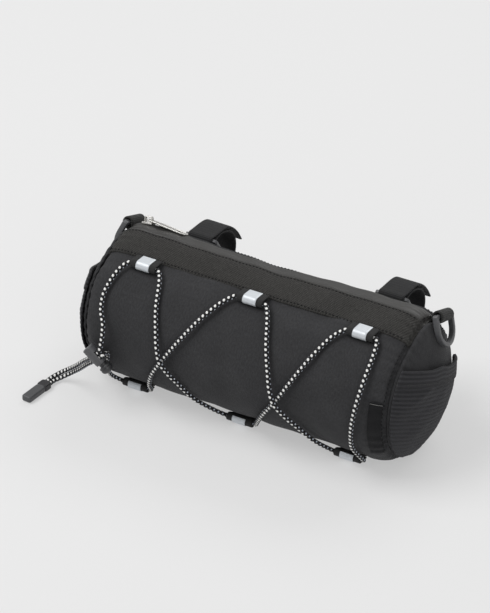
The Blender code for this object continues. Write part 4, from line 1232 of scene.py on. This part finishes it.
def sew_box(name, x, first, last, lift):
    """A sewn box with a cross, which holds webbing to the cloth."""
    half = STRAP_WIDTH / 2 - 0.0022
    corners = [(x - half, first), (x + half, first), (x + half, last), (x - half, last)]
    runs = [(corners[k], corners[(k + 1) % 4]) for k in range(4)]
    runs += [(corners[0], corners[2]), (corners[1], corners[3])]
    places = []
    for (x0, a0), (x1, a1) in runs:
        length = math.hypot(x1 - x0, math.radians(a1 - a0) * BAG_RADIUS)
        count = max(2, round(length / 0.0022))
        for step in range(count):
            share = (step + 0.5) / count
            spot = lifted(x0 + (x1 - x0) * share, a0 + (a1 - a0) * share, lift)
            ahead = lifted(x0 + (x1 - x0) * (share + 0.05), a0 + (a1 - a0) * (share + 0.05), lift)
            normal = skin_normal(x0, a0 + (a1 - a0) * share)
            places.append((spot, (ahead - spot).normalized(), normal))
    stitches(name, places, 0.0017, 0.00045, THREAD)


# Cord loops and their reflective strips


LOOP_SPACING = 0.088
UPPER_LOOP_SHIFT = 0.003
LOWER_LOOP_ROOT = -151.0
LOOP_WIDTH = 0.021
LOOP_LENGTH = 0.012
LOOP_WALL = 0.0010
LOOP_PLAY = 0.0005
REFLECTOR_WIDTH = 0.0108
REFLECTOR_WALL = 0.0005


def loop_line(offset=0.0, steps=18):
    base = CLEARANCE + LOOP_WALL / 2
    reach = CORD / 2 + LOOP_PLAY + LOOP_WALL / 2
    centre = LOOP_LENGTH - reach - LOOP_WALL / 2
    start = LOOP_WALL / 2
    return_height = base + LOOP_WALL + CLEARANCE
    slope = math.degrees(math.atan2(base + 2 * reach - return_height, centre - start))
    under = [Vector((start, base)), Vector((centre / 2, base))]
    bend = arc((centre, base + reach), reach + offset, -90, 90 + slope, steps)
    back = Vector((start, return_height + offset))
    middle = (bend[-1] + back) / 2
    return under, bend, [middle, back]


def on_cloth(x, root, direction, places):
    return [lifted(x, root + direction * degrees_for(place.x), place.y) for place in places]


def make_loop(row, index, x, root, direction):
    under, bend, back = loop_line()
    across = X_AXIS * -direction
    path = smooth(on_cloth(x, root, direction, under + bend + back), 0.0004)
    tape(
        f"{row}_loop_tape_{index}", path, across, LOOP_WIDTH, LOOP_WALL, GROSGRAIN,
        (f"{row}_loop_{index}",), columns=14, lift=lambda u, v: 0.00004 * math.sin(2 * math.pi * v / 0.0008),
    )
    offset = LOOP_WALL / 2 + REFLECTOR_WALL / 2
    under, bend, back = loop_line(offset)
    places = bend[6:] + back
    path = smooth(on_cloth(x, root, direction, places), 0.0004)
    tape(
        f"{row}_reflective_strip_{index}", path, across, REFLECTOR_WIDTH, REFLECTOR_WALL, REFLECTIVE,
        (f"{row}_reflector_{index}",), columns=8,
    )


def make_loops():
    for index, step in enumerate((-1, 0, 1), start=1):
        make_loop("upper", index, step * LOOP_SPACING + UPPER_LOOP_SHIFT, BAND_SEAM, -1)
        make_loop("lower", index, step * LOOP_SPACING, LOWER_LOOP_ROOT, 1)


# Hard trim


def to_mesh(obj):
    """The object's evaluated shape as a clean mesh, shaded smooth but for its sharp edges."""
    bpy.context.view_layer.update()
    evaluated = obj.evaluated_get(bpy.context.evaluated_depsgraph_get())
    mesh = bpy.data.meshes.new_from_object(evaluated)
    bm = bmesh.new()
    bm.from_mesh(mesh)
    bmesh.ops.remove_doubles(bm, verts=bm.verts, dist=0.000004)
    bm.to_mesh(mesh)
    bm.free()
    mesh.polygons.foreach_set("use_smooth", [True] * len(mesh.polygons))
    mesh.set_sharp_from_angle(angle=math.radians(38))
    name = obj.name
    matrix = obj.matrix_world.copy()
    bpy.data.objects.remove(obj, do_unlink=True)
    result = bpy.data.objects.new(name, mesh)
    result.name = name
    result.matrix_world = matrix
    bpy.context.scene.collection.objects.link(result)
    return result


def plate(name, outlines, thickness, bevel, matrix, material):
    curve = bpy.data.curves.new(name, "CURVE")
    curve.dimensions = "2D"
    curve.fill_mode = "BOTH"
    curve.extrude = thickness / 2 - bevel
    curve.bevel_depth = bevel
    curve.bevel_resolution = 3
    curve.offset = -bevel
    for outline in outlines:
        spline = curve.splines.new("POLY")
        spline.points.add(len(outline) - 1)
        for point, place in zip(spline.points, outline):
            point.co = (place[0], place[1], 0, 1)
        spline.use_cyclic_u = True
    obj = bpy.data.objects.new(name, curve)
    curve.materials.append(material)
    obj.matrix_world = matrix
    bpy.context.scene.collection.objects.link(obj)
    return to_mesh(obj)


def axes(origin, x_axis, y_axis, z_axis):
    matrix = Matrix((x_axis, y_axis, z_axis)).transposed().to_4x4()
    matrix.translation = origin
    return matrix


def rounded_box(left, right, bottom, top, corner, steps=6):
    return (
        arc((right - corner, top - corner), corner, 0, 90, steps)
        + arc((left + corner, top - corner), corner, 90, 180, steps)
        + arc((left + corner, bottom + corner), corner, 180, 270, steps)
        + arc((right - corner, bottom + corner), corner, 270, 360, steps)
    )


def lathe(name, profile, matrix, material):
    """A turned piece about its own Z, from a profile that starts and ends on the axis."""
    steps = 56
    verts, faces = [], []
    for radius, height in profile[1:-1]:
        for k in range(steps):
            around = 2 * math.pi * k / steps
            verts.append(Vector((radius * math.cos(around), radius * math.sin(around), height)))
    rings = len(profile) - 2
    for i in range(rings - 1):
        for k in range(steps):
            n = (k + 1) % steps
            faces.append((i * steps + k, i * steps + n, (i + 1) * steps + n, (i + 1) * steps + k))
    verts += [Vector((0, 0, profile[0][1])), Vector((0, 0, profile[-1][1]))]
    first, last = len(verts) - 2, len(verts) - 1
    for k in range(steps):
        n = (k + 1) % steps
        faces.append((first, n, k))
        faces.append((last, (rings - 1) * steps + k, (rings - 1) * steps + n))
    mesh = bpy.data.meshes.new(name)
    mesh.from_pydata([tuple(v) for v in verts], [], faces)
    bm = bmesh.new()
    bm.from_mesh(mesh)
    bmesh.ops.recalc_face_normals(bm, faces=bm.faces)
    bm.to_mesh(mesh)
    bm.free()
    mesh.materials.append(material)
    obj = bpy.data.objects.new(name, mesh)
    obj.matrix_world = matrix
    bpy.context.scene.collection.objects.link(obj)
    return obj


def cut(obj, size, matrix):
    """Cuts a box out of the object."""
    bm = bmesh.new()
    bmesh.ops.create_cube(bm, size=1)
    bmesh.ops.scale(bm, vec=size, verts=bm.verts)
    mesh = bpy.data.meshes.new("cutter")
    bm.to_mesh(mesh)
    bm.free()
    cutter = bpy.data.objects.new("cutter", mesh)
    cutter.matrix_world = matrix
    bpy.context.scene.collection.objects.link(cutter)
    modifier = obj.modifiers.new("Cut", "BOOLEAN")
    modifier.operation = "DIFFERENCE"
    modifier.solver = "EXACT"
    modifier.object = cutter
    result = to_mesh(obj)
    bpy.data.objects.remove(cutter, do_unlink=True)
    return result


def make_d_ring(name, side):
    centre, bar, up, out = tab_frame(side)
    hang = math.radians(D_RING_HANG)
    down = out * math.sin(hang) - up * math.cos(hang)
    inner = D_RING_OPENING / 2
    outer = inner + D_RING_WIRE
    top = D_RING_WIRE / 2
    corner = D_RING_CORNER
    outside = (
        arc((-outer + corner, -top + corner), corner, 180, 270, 8)
        + arc((outer - corner, -top + corner), corner, 270, 360, 8)
        + arc((0, D_RING_DROP), outer, 0, 180, 40)
    )
    inside = (
        arc((-inner + corner / 2, top + corner / 2), corner / 2, 180, 270, 5)
        + arc((inner - corner / 2, top + corner / 2), corner / 2, 270, 360, 5)
        + arc((0, D_RING_DROP), inner, 0, 180, 40)
    )
    lie = axes(centre, bar, down, bar.cross(down))
    ring = plate("d_ring_moulding_" + name, (outside, inside), D_RING_DEPTH, 0.0007, lie, MOULDED)
    finish_piece(ring, "d_ring_" + name, ("d_ring_" + name,))


def make_strap_ring(name, side):
    lower, along, span = ring_bars()
    centre = lower + along * (span / 2) + X_AXIS * (side * STRAP_AT)
    half_width = RING_OPENING / 2
    half_height = RING_GAP / 2
    wire = RING_WIRE
    inside = rounded_box(-half_width, half_width, -half_height, half_height, RING_CORNER / 2)
    outside = rounded_box(
        -half_width - wire, half_width + wire, -half_height - wire, half_height + wire, RING_CORNER
    )
    matrix = axes(centre, X_AXIS, along, X_AXIS.cross(along))
    ring = plate("strap_ring_moulding_" + name, (outside, inside), wire, 0.0006, matrix, MOULDED)
    finish_piece(ring, "bag", ("strap_ring_" + name,))


def make_lock(matrix):
    """The cord lock: a barrel with the cord's hole through it, and its button below."""
    radius = LOCK_DIAMETER / 2
    top = LOCK_LENGTH / 2
    bottom = -LOCK_LENGTH / 2
    bore = 0.0033
    rim = 0.0011
    profile = [(0, bottom)]
    for step in range(6):
        around = math.radians(90 * step / 5)
        inset = rim * (1 - math.sin(around))
        profile.append((radius - inset, bottom + rim * (1 - math.cos(around))))
    profile += [
        (radius, top - 0.0012), (radius - 0.00025, top - 0.0009), (radius - 0.00025, top - 0.0006),
        (radius - 0.0001, top - 0.0004), (radius - 0.0005, top), (bore, top),
        (bore, top - 0.0025), (0, top - 0.0025),
    ]
    body = lathe("cord_lock_moulding", profile, matrix, MOULDED)
    at = top - HOLE_TO_RIM
    hole = matrix @ Matrix.Translation((0, 0, at))
    body = cut(body, (LOCK_DIAMETER * 2, CORD + 0.0010, 2 * CORD + 0.0008), hole)
    finish_piece(body, "bag", ("cord_lock_body",))
    cap = top + 0.0023
    crown = cap + 0.0064
    profile = [(0, top - 0.0005), (bore - 0.0003, top - 0.0005), (bore - 0.0003, cap)]
    profile += [(radius - 0.0009, cap), (radius - 0.0003, cap + 0.0002), (radius, cap + 0.0006)]
    profile += [(radius, cap + 0.0017), (radius - 0.0003, cap + 0.0019), (radius - 0.0003, cap + 0.0022)]
    profile += [(radius, cap + 0.0025), (radius, crown - 0.0032)]
    for step in range(1, 10):
        around = math.radians(90 * (1 - step / 9))
        profile.append((radius * math.sin(around), crown - 0.0032 * (1 - math.cos(around))))
    button = lathe("cord_lock_button_moulding", profile, matrix, BUTTON_PLASTIC)
    button = to_mesh(button)
    finish_piece(button, "lock_button", ("cord_lock_button",))


def make_cord_end():
    """The moulded end piece: a mouth half that grips both strands and a tapered cap half."""
    half = CORD_END_WIDTH / 2
    origin = CORD_END_AT + Z_AXIS * (CORD_END_HEIGHT / 2) + CORD_END_DIRECTION * CLEARANCE
    matrix = axes(origin, CORD_END_DIRECTION, Z_AXIS.cross(CORD_END_DIRECTION), Z_AXIS)
    mouth = 0.0085
    outline = rounded_box(0, mouth, -half, half, CORD_END_WIDTH * 0.28)
    jaw = plate("cord_end_mouth", (outline,), CORD_END_HEIGHT, 0.0011, matrix, MOUTH_PLASTIC)
    slot = (0.0040, 2 * CORD + 0.0008, CORD * 0.86)
    jaw = cut(jaw, slot, matrix @ Matrix.Translation((-0.0008, 0, 0.0002)))
    cap_half = half * 0.93
    cap_outline = rounded_box(mouth - 0.0012, CORD_END_LENGTH, -cap_half, cap_half, CORD_END_WIDTH * 0.2)
    cap = plate("cord_end_cap", (cap_outline,), CORD_END_HEIGHT * 0.94, 0.0013, matrix, CORD_END_PLASTIC)
    finish_piece(jaw, "bag", ("cord_end",))
    finish_piece(cap, "bag", ("cord_end",))
    return jaw, cap


SLIDER_AT = 0.0135
SLIDER_LENGTH = 0.0095
SLIDER_WIDTH = 0.0085
SLIDER_PLATE = 0.0016
BAIL_LENGTH = 0.0064
BAIL_HEIGHT = 0.0034
BAIL_WIRE = 0.0009
BAIL_WIDTH = 0.0022
PULL_LENGTH = 0.0335
PULL_WIDTH = 0.0085
PULL_WALL = 0.0012
PULL_EYE = 0.0036
PULL_HOLE = 0.0070
PULL_HOLE_WIDTH = 0.0038


def slider_frame():
    x = -HALF_LENGTH + SLIDER_AT
    z_axis = skin_normal(x, ZIP_LINE)
    y_axis = z_axis.cross(X_AXIS).normalized()
    return axes(lifted(x, ZIP_LINE, CLEARANCE), y_axis.cross(z_axis), y_axis, z_axis)


def make_slider():
    matrix = slider_frame()
    half = SLIDER_LENGTH / 2
    side = SLIDER_WIDTH / 2
    outline = (
        arc((half - 0.0026, side - 0.0026), 0.0026, 0, 90, 8)
        + [Vector((0, side - 0.0004)), Vector((-half + 0.0020, side - 0.0012))]
        + arc((-half + 0.0012, side - 0.0026), 0.0012, 90, 180, 6)
        + arc((-half + 0.0012, -side + 0.0026), 0.0012, 180, 270, 6)
        + [Vector((-half + 0.0020, -side + 0.0012)), Vector((0, -side + 0.0004))]
        + arc((half - 0.0026, -side + 0.0026), 0.0026, 270, 360, 8)
    )
    lie = matrix @ Matrix.Translation((0, 0, SLIDER_PLATE / 2))
    base = plate("zip_slider_plate", (outline,), SLIDER_PLATE, 0.0005, lie, METAL)
    finish_piece(base, "bag", ("zip_slider",))
    half = BAIL_LENGTH / 2
    wire = BAIL_WIRE
    outer = arc((half - 0.0014, BAIL_HEIGHT + wire - 0.0014), 0.0014, 0, 90, 8)
    outer += arc((-half + 0.0014, BAIL_HEIGHT + wire - 0.0014), 0.0014, 90, 180, 8)
    outer += [Vector((-half, -SLIDER_PLATE / 2)), Vector((half, -SLIDER_PLATE / 2))]
    hole = arc((half - wire - 0.0006, BAIL_HEIGHT - 0.0006), 0.0006, 0, 90, 4)
    hole += arc((-half + wire + 0.0006, BAIL_HEIGHT - 0.0006), 0.0006, 90, 180, 4)
    hole += [Vector((-half + wire, 0)), Vector((half - wire, 0))]
    bail_matrix = matrix @ Matrix.Translation((0, 0, SLIDER_PLATE)) @ Matrix.Rotation(math.pi / 2, 4, "X")
    bail = plate("zip_slider_bail", (outer, hole), BAIL_WIDTH + 0.0008, 0.00035, bail_matrix, METAL)
    finish_piece(bail, "bag", ("zip_slider",))


def pull_outline(inset, start):
    """The pull's outline set in by a distance, from a place along it to its round end."""
    half = PULL_WIDTH / 2 - inset
    neck = BAIL_WIDTH / 2 + 0.0018 - inset
    shoulder = PULL_LENGTH * 0.36
    lower = [Vector((start, -neck)), Vector((PULL_EYE, -neck)), Vector((shoulder, -half))]
    upper = [Vector((shoulder, half)), Vector((PULL_EYE, neck)), Vector((start, neck))]
    if start > PULL_EYE:
        lower = [Vector((start, -neck - (half - neck) * 0.1)), Vector((shoulder, -half))]
        upper = [Vector((shoulder, half)), Vector((start, neck + (half - neck) * 0.1))]
    return lower + arc((PULL_LENGTH - PULL_WIDTH / 2, 0), half, -90, 90, 20) + upper


def pull_hole(grow):
    radius = PULL_HOLE_WIDTH / 2 + grow
    end = PULL_LENGTH - PULL_WIDTH / 2 + PULL_HOLE_WIDTH / 2
    start = end - PULL_HOLE + PULL_HOLE_WIDTH
    hole = arc((end - PULL_HOLE_WIDTH / 2, 0), radius, -90, 90, 12)
    return hole + arc((start - PULL_HOLE_WIDTH / 2, 0), radius, 90, 270, 12)


def make_pull():
    """The pull: a thin web with a raised rim round it and round its hole."""
    matrix = slider_frame()
    hinge = matrix @ Vector((0, 0, SLIDER_PLATE + BAIL_HEIGHT / 2))
    far = lifted(hinge.x + PULL_LENGTH, ZIP_LINE, CLEARANCE + PULL_WALL / 2)
    along = (far - hinge).normalized()
    y_axis = matrix.to_3x3().col[1]
    across = (y_axis - along * y_axis.dot(along)).normalized()
    lie = axes(hinge, along, across, along.cross(across))
    bar = PULL_WALL / 2
    eye_half = BAIL_WIDTH / 2 + 0.0006
    eye = rounded_box(bar, bar + PULL_EYE, -eye_half, eye_half, 0.0006)
    outer = pull_outline(0.0, -bar)
    web = plate("zip_pull_web", (outer, eye, pull_hole(0.0)), PULL_WALL * 0.62, 0.00015, lie, WEB_METAL)
    rim_start = bar + PULL_EYE + 0.0016
    inner = pull_outline(0.0011, rim_start)
    rim = plate("zip_pull_rim", (outer, eye, inner), PULL_WALL - 0.0001, 0.00030, lie, METAL)
    rings = (pull_hole(0.0011), pull_hole(0.0))
    ring = plate("zip_pull_eyelet", rings, PULL_WALL - 0.0002, 0.00025, lie, METAL)
    for piece in (web, rim, ring):
        finish_piece(piece, "zip_pull", ("zip_pull",))


# Side label


LABEL_WIDTH = 0.0085
LABEL_TO_SEAM = 0.0020
LABEL_TOP = -73.0
LABEL_BOTTOM = -124.0


def make_label():
    outer = HALF_LENGTH - LABEL_TO_SEAM

    def place(s, t):
        x = outer - LABEL_WIDTH * (1 - s)
        angle = LABEL_BOTTOM + (LABEL_TOP - LABEL_BOTTOM) * t
        curl = 0.0003 * bell(s / 0.12)
        point, normal = cloth_place(x, angle, 0.0006 + curl)
        return point, normal, ((x - outer) / MM, math.radians(angle) * BAG_RADIUS / MM)

    sheet("side_label_cloth", place, 20, 90, 0.0005, LABEL, ("side_label",))
    places = []
    for step in range(1, 20):
        x = outer - LABEL_WIDTH * (1 - step / 20)
        for angle in (LABEL_TOP - 1.2, LABEL_BOTTOM + 1.2):
            places.append(stitch_on_cloth(x, angle, 0.00065, along=0.0002))
    stitches("label_end_stitches", places, 0.0005, 0.00035, LABEL_THREAD)


def make_everything():
    lock_matrix = make_cords()
    make_barrel_cloth()
    seam_stitches("band_lower_stitches", BAND_SEAM + 0.9, 0.00062, 0.00084)
    seam_stitches("band_upper_stitches", TAPE_FRONT - 1.85, 0.00058, 0.00062)
    seam_stitches("shell_rear_stitches", TAPE_REAR + 1.65, 0.00055, 0.00056)
    for name, side in (("left", -1), ("right", 1)):
        make_end_cloth(name, side)
        make_tab(name, side)
        make_d_ring(name, side)
        make_strap(name, side)
        make_strap_ring(name, side)
        make_keeper(name, side)
    make_loops()
    make_lock(lock_matrix)
    ends = make_cord_end()
    make_slider()
    make_pull()
    make_label()


make_everything()
